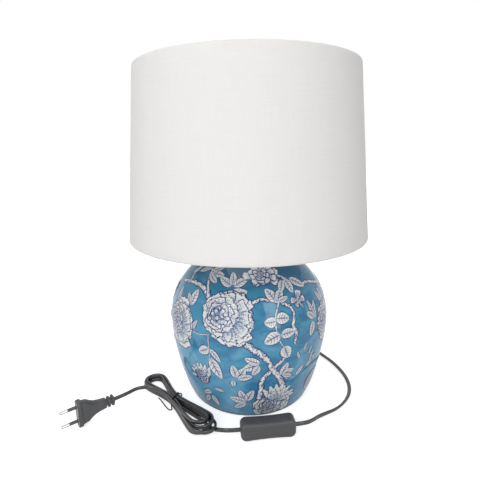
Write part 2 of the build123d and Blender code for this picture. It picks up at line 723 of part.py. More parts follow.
def switch_plane():
    """Local frame of the switch: X to its left end, Y up, Z from the base to the rocker."""
    return Plane(origin=(*SWITCH_POS, switch_axis_z()), x_dir=(-COS_SWITCH, -SIN_SWITCH, 0),
                 z_dir=(-SIN_SWITCH, COS_SWITCH, 0))


def switch_outline():
    """Waisted outline of the switch with rounded corners."""
    x, y, waist = SWITCH_L / 2, SWITCH_W / 2, SWITCH_WAIST / 2
    sides = [ThreePointArc((-x, y), (0, waist), (x, y)), Line((x, y), (x, -y)),
             ThreePointArc((x, -y), (0, -waist), (-x, -y)), Line((-x, -y), (-x, y))]
    face = make_face(sides)
    return fillet(face.vertices(), SWITCH_CORNER_R)


def rocker_blank(length, width, depth):
    """Rocker seen along its pin: flat flanks, round foot and a dished top."""
    top = ROCKER_STAND + PIN_DROP
    half = length / 2
    outline = [
        Line((-half * 0.55, top - depth), (-half, top)),
        ThreePointArc((-half, top), (0, top - ROCKER_DISH), (half, top)),
        Line((half, top), (half * 0.55, top - depth)),
        ThreePointArc((half * 0.55, top - depth), (0, top - depth - 1), (-half * 0.55, top - depth))]
    return extrude(Plane.XZ * make_face(outline), width / 2, both=True)


def switch_parts():
    """Base, cover, rocker, pin and contacts of the in-line switch."""
    plane = switch_plane()
    back = -SWITCH_T / 2
    split = back + SWITCH_BASE_T
    front = SWITCH_T / 2
    pin_z = front - PIN_DROP
    outline = switch_outline()
    room_w = SWITCH_WAIST - 2 * SWITCH_WALL
    room_l = SWITCH_L - 4 * SWITCH_WALL
    base = Pos(0, 0, back) * extrude(outline, SWITCH_BASE_T)
    base = fillet(base.faces().sort_by(Axis.Z)[0].edges(), SWITCH_EDGE_R / 3)
    base -= Pos(0, 0, back + SWITCH_WALL) * Box(room_l, room_w, SWITCH_T,
                                               align=(Align.CENTER, Align.CENTER, Align.MIN))
    cover = Pos(0, 0, split) * extrude(outline, front - split)
    cover = fillet(cover.faces().sort_by(Axis.Z)[-1].edges(), SWITCH_EDGE_R)
    cover -= Pos(0, 0, split) * Box(room_l, room_w, front - split - SWITCH_WALL,
                                    align=(Align.CENTER, Align.CENTER, Align.MIN))
    window_l = ROCKER_L + 2 * ROCKER_END_GAP
    window_w = ROCKER_W + 2 * ROCKER_SIDE_GAP
    cheek = (room_w - window_w) / 2
    cheek_h = front - split - SWITCH_WALL
    for side in (-1, 1):
        cover += Pos(0, side * (window_w + cheek) / 2, split) * Box(
            PIN_R * 6, cheek, cheek_h, align=(Align.CENTER, Align.CENTER, Align.MIN))
    cover -= Pos(0, 0, split) * Box(window_l, window_w, SWITCH_T,
                                    align=(Align.CENTER, Align.CENTER, Align.MIN))
    pin_half = window_w / 2 + PIN_SEAT
    pin = Pos(0, 0, pin_z) * (Rot(90, 0, 0) * Cylinder(PIN_R, 2 * pin_half))
    cover -= pin
    rocker = rocker_blank(ROCKER_L, ROCKER_W, ROCKER_DEPTH)
    rocker -= Rot(90, 0, 0) * Cylinder(PIN_R + PIN_RUNNING_GAP, SWITCH_W)
    rocker = Pos(0, 0, pin_z) * (Rot(0, ROCKER_TILT, 0) * rocker)
    contacts = [Pos(side * CONTACT_X, 0, back + SWITCH_WALL) * Box(
        CONTACT_L, CONTACT_W, CONTACT_T, align=(Align.CENTER, Align.CENTER, Align.MIN))
        for side in (-1, 1)]
    save("switch_base", plane * base)
    save("switch_cover", plane * cover)
    save("switch_rocker", plane * rocker)
    save("rocker_pin", plane * pin)
    save("switch_contacts", plane * Compound(children=contacts))
    hinge = plane * Pos(0, 0, pin_z)
    print("rocker hinge at", [round(v, 3) for v in hinge.position], "axis",
          [round(v, 4) for v in plane.y_dir])


# ----------------------------------------------------------------------------- plug

def plug_plane():
    """Local frame of the plug: X up, Z from the boot's end to the pin tips."""
    turn = math.radians(PLUG_AZ)
    return Plane(origin=(*PLUG_END, PLUG_FLANGE_W / 2 + 0.1), x_dir=(0, 0, 1),
                 z_dir=(math.cos(turn), math.sin(turn), 0))


def plug_body():
    """Moulded plug: ribbed boot, waisted grip and flanged front."""
    flange_z = PLUG_L - PLUG_FLANGE_T
    corner = PLUG_FLANGE_D * 0.45
    boot = Circle(BOOT_CORE_R)
    body = extrude(boot, BOOT_L)
    gap = (BOOT_L - BOOT_RIBS * BOOT_RIB_T) / (BOOT_RIBS + 0.5)
    for rib in range(BOOT_RIBS):
        low = 0.5 * gap + rib * (BOOT_RIB_T + gap)
        section = RectangleRounded(BOOT_RIB_W, BOOT_RIB_D, BOOT_RIB_D * 0.35)
        body += Pos(0, 0, low) * extrude(section, BOOT_RIB_T)
    grip_stations = [(0, BOOT_RIB_W, BOOT_RIB_D), (0.4, BOOT_RIB_W * 1.12, BOOT_RIB_D * 1.08),
                     (0.75, PLUG_FLANGE_W * 0.56, PLUG_FLANGE_D * 0.92),
                     (1, PLUG_FLANGE_W * 0.84, PLUG_FLANGE_D * 0.97)]
    sections = [Pos(0, 0, BOOT_L + share * (flange_z - BOOT_L)) *
                RectangleRounded(width, depth, depth * 0.38)
                for share, width, depth in grip_stations]
    body += loft(sections)
    body += Pos(0, 0, flange_z) * extrude(
        RectangleRounded(PLUG_FLANGE_W, PLUG_FLANGE_D, corner), PLUG_FLANGE_T)
    return body


def plug_parts():
    """Plug body, front insert, sleeved pins."""
    plane = plug_plane()
    face_w = PLUG_FLANGE_W - 2 * PLUG_FACE_INSET
    face_d = PLUG_FLANGE_D - 2 * PLUG_FACE_INSET
    face_z = PLUG_L - PLUG_FACE_T
    insert = Pos(0, 0, face_z) * extrude(
        RectangleRounded(face_w, face_d, face_d * 0.42), PLUG_FACE_T)
    body = plug_body() - insert
    pins = []
    sleeves = []
    for side in (-1, 1):
        place = Pos(side * PIN_PITCH / 2, 0, 0)
        root_z = PLUG_L - PLUG_PIN_ROOT
        tip_z = PLUG_L + PLUG_PIN_L
        shank = Pos(0, 0, root_z) * extrude(Circle(PLUG_PIN_NECK_R), PLUG_PIN_ROOT + PLUG_SLEEVE_L)
        tip = Pos(0, 0, PLUG_L + PLUG_SLEEVE_L) * extrude(
            Circle(PLUG_PIN_R), PLUG_PIN_L - PLUG_SLEEVE_L)
        tip = fillet(tip.edges().sort_by(Axis.Z)[-1], PLUG_PIN_ROUND)
        sleeve = Pos(0, 0, PLUG_L) * extrude(
            Circle(PLUG_SLEEVE_R) - Circle(PLUG_PIN_NECK_R), PLUG_SLEEVE_L)
        pins.append(place * (shank + tip))
        sleeves.append(place * sleeve)
        hole = place * (Pos(0, 0, root_z) * extrude(Circle(PLUG_PIN_NECK_R), tip_z - root_z))
        body -= hole
        insert -= hole
    save("plug_body", plane * body)
    save("plug_insert", plane * insert)
    save("plug_pins", plane * Compound(children=pins))
    save("pin_sleeves", plane * Compound(children=sleeves))
    mid_z = PLUG_L + (PLUG_PIN_L - PLUG_PIN_ROUND) / 2
    for side in (-1, 1):
        point = plane * Pos(side * PIN_PITCH / 2, 0, mid_z)
        print("pin mount", [round(v, 3) for v in point.position], "axis",
              [round(v, 4) for v in plane.z_dir])


# ----------------------------------------------------------------------------- build

def main():
    """Build every piece and write it to the parts folder."""
    os.makedirs("parts", exist_ok=True)
    jar = jar_body()
    wall_y = grommet_wall_y()
    tip_y = wall_y + GROMMET_FLANGE_T + GROMMET_TAIL
    base_parts(jar)
    lampholder_parts()
    shade_parts()
    save("cord_grommet", cord_grommet(jar, wall_y))
    save("inner_cord", inner_cord(tip_y))
    save("cord_lamp_side", cord_tube("cord_lamp_side", lamp_side_route(tip_y)))
    switch_parts()
    save("cord_switch_side", cord_tube("cord_switch_side", switch_side_route()))
    save("cord_hank", hank())
    save("cord_tie", cord_tie())
    save("cord_plug_side", cord_tube("cord_plug_side", plug_side_route()))
    plug_parts()
    print("cord leaves the bush at", round(tip_y, 3))


main()
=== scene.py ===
"""Looks of a ginger jar table lamp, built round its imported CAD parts.

The jar, the metal parts and the inner plastic parts keep their CAD meshes and get
finishes. The shade's cloth, the cord and its tie, the switch housing, the plug's body
and the painting under the glaze are new pieces.
"""

import json
import logging
import math
import random
from bisect import bisect_left
from dataclasses import dataclass, field
from enum import Enum
from typing import Callable

import bmesh
import bpy
from mathutils import Matrix, Vector
from mathutils.bvhtree import BVHTree

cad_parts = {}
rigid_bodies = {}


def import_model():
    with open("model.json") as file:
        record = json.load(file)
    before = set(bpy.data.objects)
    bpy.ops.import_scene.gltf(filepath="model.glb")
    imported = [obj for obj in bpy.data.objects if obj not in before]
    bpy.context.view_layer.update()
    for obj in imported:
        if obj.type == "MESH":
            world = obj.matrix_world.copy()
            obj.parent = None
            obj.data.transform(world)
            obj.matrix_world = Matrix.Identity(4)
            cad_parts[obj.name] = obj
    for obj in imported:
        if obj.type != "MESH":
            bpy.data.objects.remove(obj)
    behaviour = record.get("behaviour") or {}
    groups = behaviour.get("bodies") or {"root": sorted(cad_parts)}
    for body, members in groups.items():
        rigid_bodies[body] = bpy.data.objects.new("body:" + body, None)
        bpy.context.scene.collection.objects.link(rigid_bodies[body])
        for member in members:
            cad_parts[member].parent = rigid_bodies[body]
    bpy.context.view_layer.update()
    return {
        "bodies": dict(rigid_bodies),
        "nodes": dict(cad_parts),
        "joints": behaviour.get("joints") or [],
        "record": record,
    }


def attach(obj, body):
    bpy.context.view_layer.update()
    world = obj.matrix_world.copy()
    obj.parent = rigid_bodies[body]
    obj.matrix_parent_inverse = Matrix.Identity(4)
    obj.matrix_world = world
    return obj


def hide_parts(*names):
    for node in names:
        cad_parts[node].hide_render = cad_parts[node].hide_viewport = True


Colour = tuple[float, float, float]
Point = tuple[float, float, float]
Socket = bpy.types.NodeSocket

LOG = logging.getLogger("ginger_jar_lamp")
MM = 0.001


# ------------------------------------------------------------------------ helpers

def linear(red: int, green: int, blue: int) -> Colour:
    """Linear colour of a shade written in display values from 0 to 255."""
    def one(value: int) -> float:
        """Linear value of one part of the colour."""
        share = value / 255
        return share / 12.92 if share <= 0.04045 else ((share + 0.055) / 1.055) ** 2.4
    return one(red), one(green), one(blue)


def toned(tone: Colour, share: float) -> Colour:
    """A colour made darker, or lighter with a share over 1."""
    return tuple(share * part for part in tone)


def metres(points: list[Point]) -> list[Vector]:
    """Route points given in millimetres, as vectors in metres."""
    return [Vector(point) * MM for point in points]


def squared(value: float, power: float) -> float:
    """A sine or cosine pushed outwards, which turns an ellipse into a rounded box."""
    return math.copysign(abs(value) ** power, value)


def linked(name: str, data: bpy.types.ID) -> bpy.types.Object:
    """A new object for some data, put in the scene."""
    piece = bpy.data.objects.new(name, data)
    bpy.context.scene.collection.objects.link(piece)
    return piece


def shown_mesh(name: str, shape: bmesh.types.BMesh, materials: list[bpy.types.Material],
               smooth: bool = True) -> bpy.types.Object:
    """Turn a finished bmesh into an object at the origin.

    Args:
        name: Name of the piece.
        shape: The bmesh, which is freed.
        materials: The piece's materials in slot order.
        smooth: True to shade the faces smooth.

    Returns:
        The new object, linked to the scene.
    """
    for face in shape.faces:
        face.smooth = smooth
    mesh = bpy.data.meshes.new(name)
    shape.to_mesh(mesh)
    shape.free()
    for material in materials:
        mesh.materials.append(material)
    return linked(name, mesh)


class Graph:
    """Node tree of a material or a world, put together a node at a time."""

    def __init__(self, tree: bpy.types.NodeTree) -> None:
        """Start from the tree's own nodes."""
        self.nodes, self.links = tree.nodes, tree.links

    def node(self, kind: str, **settings: object) -> bpy.types.Node:
        """Add a node and set its properties by name."""
        node = self.nodes.new(kind)
        for key, value in settings.items():
            setattr(node, key, value)
        return node

    def feed(self, socket: Socket, value: Socket | float | Point) -> None:
        """Link a socket, or set it to a plain value."""
        if isinstance(value, bpy.types.NodeSocket):
            self.links.new(value, socket)
        else:
            socket.default_value = value

    def place(self) -> Socket:
        """The point's place in the lamp's frame, in metres."""
        return self.node("ShaderNodeTexCoord").outputs["Object"]

    def uv(self, name: str) -> Socket:
        """A UV map of the piece by its name."""
        return self.node("ShaderNodeUVMap", uv_map=name).outputs["UV"]

    def split(self, vector: Socket) -> tuple[Socket, Socket, Socket]:
        """The three parts of a vector."""
        node = self.node("ShaderNodeSeparateXYZ")
        self.feed(node.inputs[0], vector)
        return node.outputs[0], node.outputs[1], node.outputs[2]

    def join(self, x: Socket | float, y: Socket | float, z: Socket | float) -> Socket:
        """A vector from its three parts."""
        node = self.node("ShaderNodeCombineXYZ")
        for socket, value in zip(node.inputs, (x, y, z)):
            self.feed(socket, value)
        return node.outputs[0]

    def math(self, operation: str, first: Socket | float, second: Socket | float = 0.0) -> Socket:
        """The result of one arithmetic step."""
        node = self.node("ShaderNodeMath", operation=operation)
        self.feed(node.inputs[0], first)
        self.feed(node.inputs[1], second)
        return node.outputs[0]

    def times(self, first: Socket | float, second: Socket | float) -> Socket:
        """The product of two values."""
        return self.math("MULTIPLY", first, second)

    def most(self, first: Socket | float, second: Socket | float) -> Socket:
        """The greater of two values."""
        return self.math("MAXIMUM", first, second)

    def ramp(self, value: Socket | float, low: float, high: float, start: float = 0.0,
             end: float = 1.0) -> Socket:
        """A value carried smoothly from one range to another and held at both ends.

        Args:
            value: The value.
            low: Where the result starts to change.
            high: Where it stops.
            start: The result at low.
            end: The result at high.

        Returns:
            The result.
        """
        node = self.node("ShaderNodeMapRange", interpolation_type="SMOOTHSTEP")
        for socket, part in zip(node.inputs, (value, low, high, start, end)):
            self.feed(socket, part)
        return node.outputs[0]

    def scaled(self, vector: Socket, x: float, y: float, z: float) -> Socket:
        """A vector with each part multiplied by its own number."""
        node = self.node("ShaderNodeVectorMath", operation="MULTIPLY")
        self.feed(node.inputs[0], vector)
        node.inputs[1].default_value = (x, y, z)
        return node.outputs[0]

    def noise(self, vector: Socket, scale: float, detail: float = 2.0, rough: float = 0.5,
              bend: float = 0.0) -> Socket:
        """Soft noise between 0 and 1.

        Args:
            vector: Place in the noise.
            scale: How fine it is.
            detail: Number of finer layers.
            rough: Strength of the finer layers.
            bend: How far it is pulled about.

        Returns:
            The noise.
        """
        node = self.node("ShaderNodeTexNoise")
        self.feed(node.inputs["Vector"], vector)
        for key, value in (("Scale", scale), ("Detail", detail), ("Roughness", rough),
                           ("Distortion", bend)):
            node.inputs[key].default_value = value
        return node.outputs["Fac"]

    def blend(self, share: Socket | float, first: Socket | Colour,
              second: Socket | Colour) -> Socket:
        """A colour between two others.

        Args:
            share: 0 for the first colour, 1 for the second.
            first: One colour.
            second: The other.

        Returns:
            The mixed colour.
        """
        node = self.node("ShaderNodeMix", data_type="RGBA")
        self.feed(node.inputs["Factor"], share)
        for socket, value in ((node.inputs[6], first), (node.inputs[7], second)):
            self.feed(socket, (*value, 1) if isinstance(value, tuple) else value)
        return node.outputs[2]


class Recipe(Graph):
    """Node tree of one finish, with the shader that it feeds."""

    def __init__(self, name: str, **settings: float | Colour) -> None:
        """Start a finish from plain shader settings.

        Args:
            name: Name of the material.
            **settings: Shader sockets by name, with _ for each space.
        """
        self.material = bpy.data.materials.new(name)
        self.material.use_nodes = True
        super().__init__(self.material.node_tree)
        self.shader = self.nodes["Principled BSDF"]
        for key, value in settings.items():
            socket = self.shader.inputs[key.replace("_", " ")]
            socket.default_value = (*value, 1) if isinstance(value, tuple) else value

    def relief(self, height: Socket, depth: float, strength: float = 1.0) -> None:
        """Raise the surface by a height.

        Args:
            height: Height from 0 to 1.
            depth: How far a height of 1 stands out, in metres.
            strength: Share of the relief that shows.
        """
        node = self.node("ShaderNodeBump")
        node.inputs["Strength"].default_value = strength
        node.inputs["Distance"].default_value = depth
        self.feed(node.inputs["Height"], height)
        self.feed(self.shader.inputs["Normal"], node.outputs[0])

    def glaze_waves(self) -> None:
        """Raise the slow, shallow waves of the jar's glaze."""
        self.relief(self.noise(self.place(), 55, 2, 0.4), 0.00012, 0.35)

    def colour(self, value: Socket) -> None:
        """Use a colour that changes over the surface."""
        self.feed(self.shader.inputs["Base Color"], value)

    def roughness(self, value: Socket) -> None:
        """Use a roughness that changes over the surface."""
        self.feed(self.shader.inputs["Roughness"], value)


# ----------------------------------------------------------------------- finishes

@dataclass(frozen=True)
class MetalFinish:
    """Turned or pressed metal with fine draw marks round its axis."""

    name: str
    tone: Colour
    roughness: float = 0.28
    mark_depth: float = 0.00002

    def build(self) -> bpy.types.Material:
        """Make the material."""
        made = Recipe(self.name, Metallic=1.0)
        place = made.place()
        marks = made.noise(made.scaled(place, 60, 60, 2600), 1.0, 3)
        smudge = made.noise(place, 45, 4, 0.6)
        made.colour(made.blend(smudge, toned(self.tone, 0.86), self.tone))
        made.roughness(made.ramp(smudge, 0.2, 0.8, self.roughness * 0.75, self.roughness * 1.35))
        made.relief(marks, self.mark_depth)
        return made.material


@dataclass(frozen=True)
class MouldedFinish:
    """Moulded plastic or rubber with a fine spark grain and slight wear."""

    name: str
    tone: Colour
    roughness: float = 0.4
    grain: float = 2200.0
    grain_depth: float = 0.00003
    worn: float = 1.25
    shine: float = 0.5

    def build(self) -> bpy.types.Material:
        """Make the material."""
        made = Recipe(self.name, IOR=1.49, Specular_IOR_Level=self.shine)
        place = made.place()
        cloud = made.noise(place, 38, 4, 0.6)
        made.colour(made.blend(cloud, self.tone, toned(self.tone, self.worn)))
        made.roughness(made.ramp(cloud, 0.25, 0.8, self.roughness * 0.85, self.roughness * 1.2))
        made.relief(made.noise(place, self.grain, 2), self.grain_depth)
        return made.material


@dataclass(frozen=True)
class FeltFinish:
    """Pressed felt with short crossing fibres."""

    name: str
    tone: Colour

    def build(self) -> bpy.types.Material:
        """Make the material."""
        made = Recipe(self.name, Roughness=0.95, Sheen_Weight=0.6, Sheen_Roughness=0.5)
        place = made.place()
        along = made.noise(made.scaled(place, 3, 1, 1), 900, 4, 0.7, 1.5)
        across = made.noise(made.scaled(place, 1, 3, 1), 900, 4, 0.7, 1.5)
        fibre = made.most(along, across)
        made.colour(made.blend(made.ramp(fibre, 0.4, 0.75), toned(self.tone, 0.55), self.tone))
        made.relief(fibre, 0.0003)
        return made.material


@dataclass(frozen=True)
class ClothFinish:
    """Plain woven shade cloth, read from its own UV map in metres."""

    name: str
    tone: Colour
    thread: float = 0.0006
    glow: float = 0.12

    def build(self) -> bpy.types.Material:
        """Make the material."""
        made = Recipe(self.name, Roughness=0.9, Sheen_Weight=0.15, Sheen_Roughness=0.4)
        across, along, _ = made.split(made.uv("Cloth"))
        waves = [made.math("SINE", made.times(part, math.pi / self.thread))
                 for part in (across, along)]
        weave = made.times(*waves)
        flat = made.join(across, along, 0.0)
        slub = made.math("ADD", made.noise(made.scaled(flat, 30, 1500, 1), 1.0, 3),
                         made.noise(made.scaled(flat, 1500, 30, 1), 1.0, 3))
        tint = made.ramp(slub, 0.7, 1.3)
        made.colour(made.blend(tint, toned(self.tone, 0.95), self.tone))
        made.relief(made.math("ADD", made.times(weave, 0.5), slub), 0.00006, 0.6)
        thin = made.node("ShaderNodeBsdfTranslucent")
        thin.inputs["Color"].default_value = (*self.tone, 1)
        mix = made.node("ShaderNodeMixShader")
        mix.inputs[0].default_value = self.glow
        made.feed(mix.inputs[1], made.shader.outputs[0])
        made.feed(mix.inputs[2], thin.outputs[0])
        made.feed(made.nodes["Material Output"].inputs[0], mix.outputs[0])
        return made.material


@dataclass(frozen=True)
class CordFinish:
    """Soft cord sheath with the faint lengthwise lines of the extruder."""

    name: str
    tone: Colour

    def build(self) -> bpy.types.Material:
        """Make the material."""
        made = Recipe(self.name, IOR=1.5, Specular_IOR_Level=0.9)
        place = made.place()
        dust = made.noise(place, 55, 4, 0.65)
        made.colour(made.blend(made.ramp(dust, 0.45, 0.8), self.tone, toned(self.tone, 1.5)))
        made.roughness(made.ramp(dust, 0.3, 0.8, 0.2, 0.34))
        made.relief(made.noise(place, 700, 2), 0.00004)
        return made.material


@dataclass(frozen=True)
class GlazeFinish:
    """Washed blue ground under a clear, slightly wavy glaze, with a bare foot."""

    name: str
    wash: Colour = linear(57, 140, 171)
    deep: Colour = linear(36, 108, 150)
    pale: Colour = linear(116, 171, 204)
    # Dark navy for the glaze's dark strokes, for painted shade under the lampshade and for the
    # painted shadow line at the foot.
    navy_strokes_and_shade: Colour = linear(26, 74, 108)
    biscuit: Colour = linear(214, 208, 196)
    bare_height: float = 0.0021
    # Height of the painted shadow line round the jar just above its bare foot.
    foot_shadow_height: float = 0.0042

    def build(self) -> bpy.types.Material:
        """Make the material."""
        made = Recipe(self.name, IOR=1.5)
        place = made.place()
        x, _, z = made.split(place)
        stroke = made.noise(made.scaled(place, 13, 13, 44), 1.0, 3, 0.5, 2.0)
        swirl = made.noise(place, 21, 4, 0.55, 1.8)
        pool = made.noise(place, 13, 2, 0.5, 0.6)
        ground = made.blend(made.ramp(stroke, 0.36, 0.62), self.deep, self.wash)
        ground = made.blend(made.ramp(swirl, 0.46, 0.74, 0.0, 0.6), ground, self.pale)
        ground = made.blend(made.ramp(pool, 0.52, 0.66, 0.0, 0.4), ground, self.deep)
        # Painted light: the ground turns paler low down on the jar, most on its left side.
        low = made.times(made.ramp(z, 0.01, 0.13, 0.8, 0.0), made.ramp(x, 0.02, -0.08, 0.4, 1.3))
        ground = made.blend(made.times(low, made.ramp(pool, 0.75, 0.35)), ground, self.pale)
        # Partly painted shade: the ground turns dark navy towards the top, under the lampshade, in
        # streaks that follow the glaze's dark strokes.
        high = made.times(made.ramp(z, 0.15, 0.186, 0.0, 0.85),
                          made.ramp(stroke, 0.3, 0.6, 0.45, 1.0))
        ground = made.blend(high, ground, self.navy_strokes_and_shade)
        # Painted shadow: a thin dark navy line round the jar just above its bare foot.
        ring = made.times(made.ramp(z, self.foot_shadow_height - 0.0008, self.foot_shadow_height),
                          made.ramp(z, self.foot_shadow_height + 0.002, self.foot_shadow_height + 0.0006))
        ground = made.blend(made.times(ring, 0.8), ground, self.navy_strokes_and_shade)
        foot = made.ramp(z, self.bare_height, self.bare_height + 0.0006)
        made.colour(made.blend(foot, self.biscuit, ground))
        made.roughness(made.ramp(foot, 0.0, 1.0, 0.8, 0.06))
        made.glaze_waves()
        return made.material


class Motif(Enum):
    """What a painted shape on the jar stands for, which sets its brushwork."""

    PETAL = "petal"
    LEAF = "leaf"
    BRANCH = "branch"


@dataclass(frozen=True)
class BrushFinish:
    """White painted shape with a cobalt outline and veins, under the jar's glaze.

    The UV map Brush runs across and along each shape from 0 to 1, and Span holds
    the shape's width and length in metres.
    """

    motif: Motif
    white: Colour = linear(221, 222, 219)
    cobalt: Colour = linear(24, 46, 102)
    shade: Colour = linear(126, 152, 188)
    line: float = 0.00145

    def veins(self, made: Recipe, across: Socket, along: Socket, off: Socket) -> Socket:
        """Lines inside a shape, from 0 where bare to 1 on a line.

        Args:
            made: The recipe in the making.
            across: Place across the shape.
            along: Place along the shape.
            off: Distance from the shape's middle line, from 0 to 1.

        Returns:
            Strength of the lines.
        """
        def comb(value: Socket, count: float, width: float) -> Socket:
            """A row of lines at even distances."""
            wave = made.math("SINE", made.times(value, math.pi * count))
            return made.ramp(made.math("ABSOLUTE", wave), width, width * 0.35)
        if self.motif is Motif.LEAF:
            rib = made.ramp(off, 0.11, 0.04)
            side = comb(made.math("SUBTRACT", along, made.times(off, 0.2)), 5.5, 0.5)
            fade = made.times(made.ramp(off, 0.9, 0.5), made.ramp(along, 0.95, 0.7))
            return made.most(rib, made.times(side, made.times(fade, 0.8)))
        if self.motif is Motif.PETAL:
            rays = comb(across, 6.0, 0.55)
            low = made.ramp(along, 0.88, 0.4, 0.0, 0.95)
            broken = made.ramp(made.noise(made.place(), 330, 2), 0.32, 0.52)
            return made.times(made.times(rays, low), broken)
        drawn_out = made.join(made.times(across, 2.4), made.times(along, 26.0), 0.0)
        return made.ramp(made.noise(drawn_out, 1.0, 3, 0.7, 1.2), 0.49, 0.57, 0.0, 0.95)

    def build(self) -> bpy.types.Material:
        """Make the material."""
        made = Recipe("painted_" + self.motif.value, IOR=1.5, Roughness=0.06)
        across, along, _ = made.split(made.uv("Brush"))
        width, length, _ = made.split(made.uv("Span"))
        off = made.times(made.math("ABSOLUTE", made.math("SUBTRACT", across, 0.5)), 2.0)
        side = made.times(made.math("SUBTRACT", 1.0, off), made.times(width, 0.5))
        tip = made.times(made.math("SUBTRACT", 1.0, along), length)
        edge = side if self.motif is Motif.BRANCH else made.math("MINIMUM", side, tip)
        line = made.math("MINIMUM", made.times(width, 0.22), self.line)
        wobble = made.times(made.noise(made.place(), 420, 2), 0.7)
        outline = made.ramp(made.math("SUBTRACT", made.math("DIVIDE", edge, line), wobble),
                            0.8, 0.35)
        lines = made.most(outline, self.veins(made, across, along, off))
        dab = made.noise(made.place(), 260, 3, 0.6)
        inner = {Motif.PETAL: (along, 0.9, 0.15, 0.05, 1.0),
                 Motif.LEAF: (off, 0.8, 0.1, 0.0, 0.4),
                 Motif.BRANCH: (off, 0.2, 0.9, 0.0, 0.8)}[self.motif]
        wash = made.times(made.ramp(dab, 0.33, 0.6, 0.3, 1.0), made.ramp(*inner))
        body = made.blend(wash, self.white, self.shade)
        made.colour(made.blend(made.times(lines, 0.97), body, self.cobalt))
        made.glaze_waves()
        return made.material


FINISHES = {
    "felt": FeltFinish("green_felt", linear(52, 66, 58)),
    "jar_glaze": GlazeFinish("blue_glaze"),
    "rubber": MouldedFinish("washer_rubber", linear(38, 38, 40), 0.7),
    "zinc_steel": MetalFinish("zinc_steel", linear(186, 190, 196), 0.35),
    "brass_satin": MetalFinish("satin_brass", linear(212, 178, 110), 0.3),
    "holder_plastic": MouldedFinish("holder_plastic", linear(232, 231, 226), 0.38, worn=1.0),
    "porcelain": MouldedFinish("holder_porcelain", linear(236, 234, 228), 0.18, worn=1.0),
    "brass_contact": MetalFinish("contact_brass", linear(206, 170, 96), 0.22),
    "shade_cloth": ClothFinish("shade_cloth", linear(240, 238, 236)),
    "liner_film": MouldedFinish("liner_film", linear(238, 238, 238), 0.3, worn=1.0),
    "white_wire": MouldedFinish("white_wire", linear(232, 233, 234), 0.3, worn=1.0),
    "cord_black": CordFinish("cord_sheath", linear(50, 50, 53)),
    "switch_black": MouldedFinish("switch_plastic", linear(60, 60, 62), 0.42, shine=0.8),
    "tie_black": MouldedFinish("tie_sheath", linear(34, 34, 36), 0.45),
    "plug_black": MouldedFinish("plug_rubber", linear(62, 62, 64), 0.42, shine=0.8),
    "plug_face_grey": MouldedFinish("plug_face", linear(128, 128, 130), 0.45),
    "pin_nickel": MetalFinish("nickel_pins", linear(205, 203, 198), 0.2),
}


# ----------------------------------------------------------------- metal and plastic

@dataclass
class PlainParts:
    """CAD pieces that keep their mesh and only need their finish."""

    frame: dict
    made: dict[str, bpy.types.Material] = field(default_factory=dict)

    def finish_for(self, slot: str) -> bpy.types.Material:
        """The material of a slot, made the first time it is asked for."""
        if slot not in self.made:
            self.made[slot] = FINISHES[slot].build()
        return self.made[slot]

    def dress(self) -> None:
        """Give every CAD node the finish of its slot."""
        slots = {part["node"]: part["material_slot"]
                 for part in self.frame["record"]["subparts"]}
        for name, node in self.frame["nodes"].items():
            material = self.finish_for(slots[name])
            node.data.materials.clear()
            node.data.materials.append(material)
            LOG.info("%s: %s", name, material.name)


# --------------------------------------------------------------------------- cord

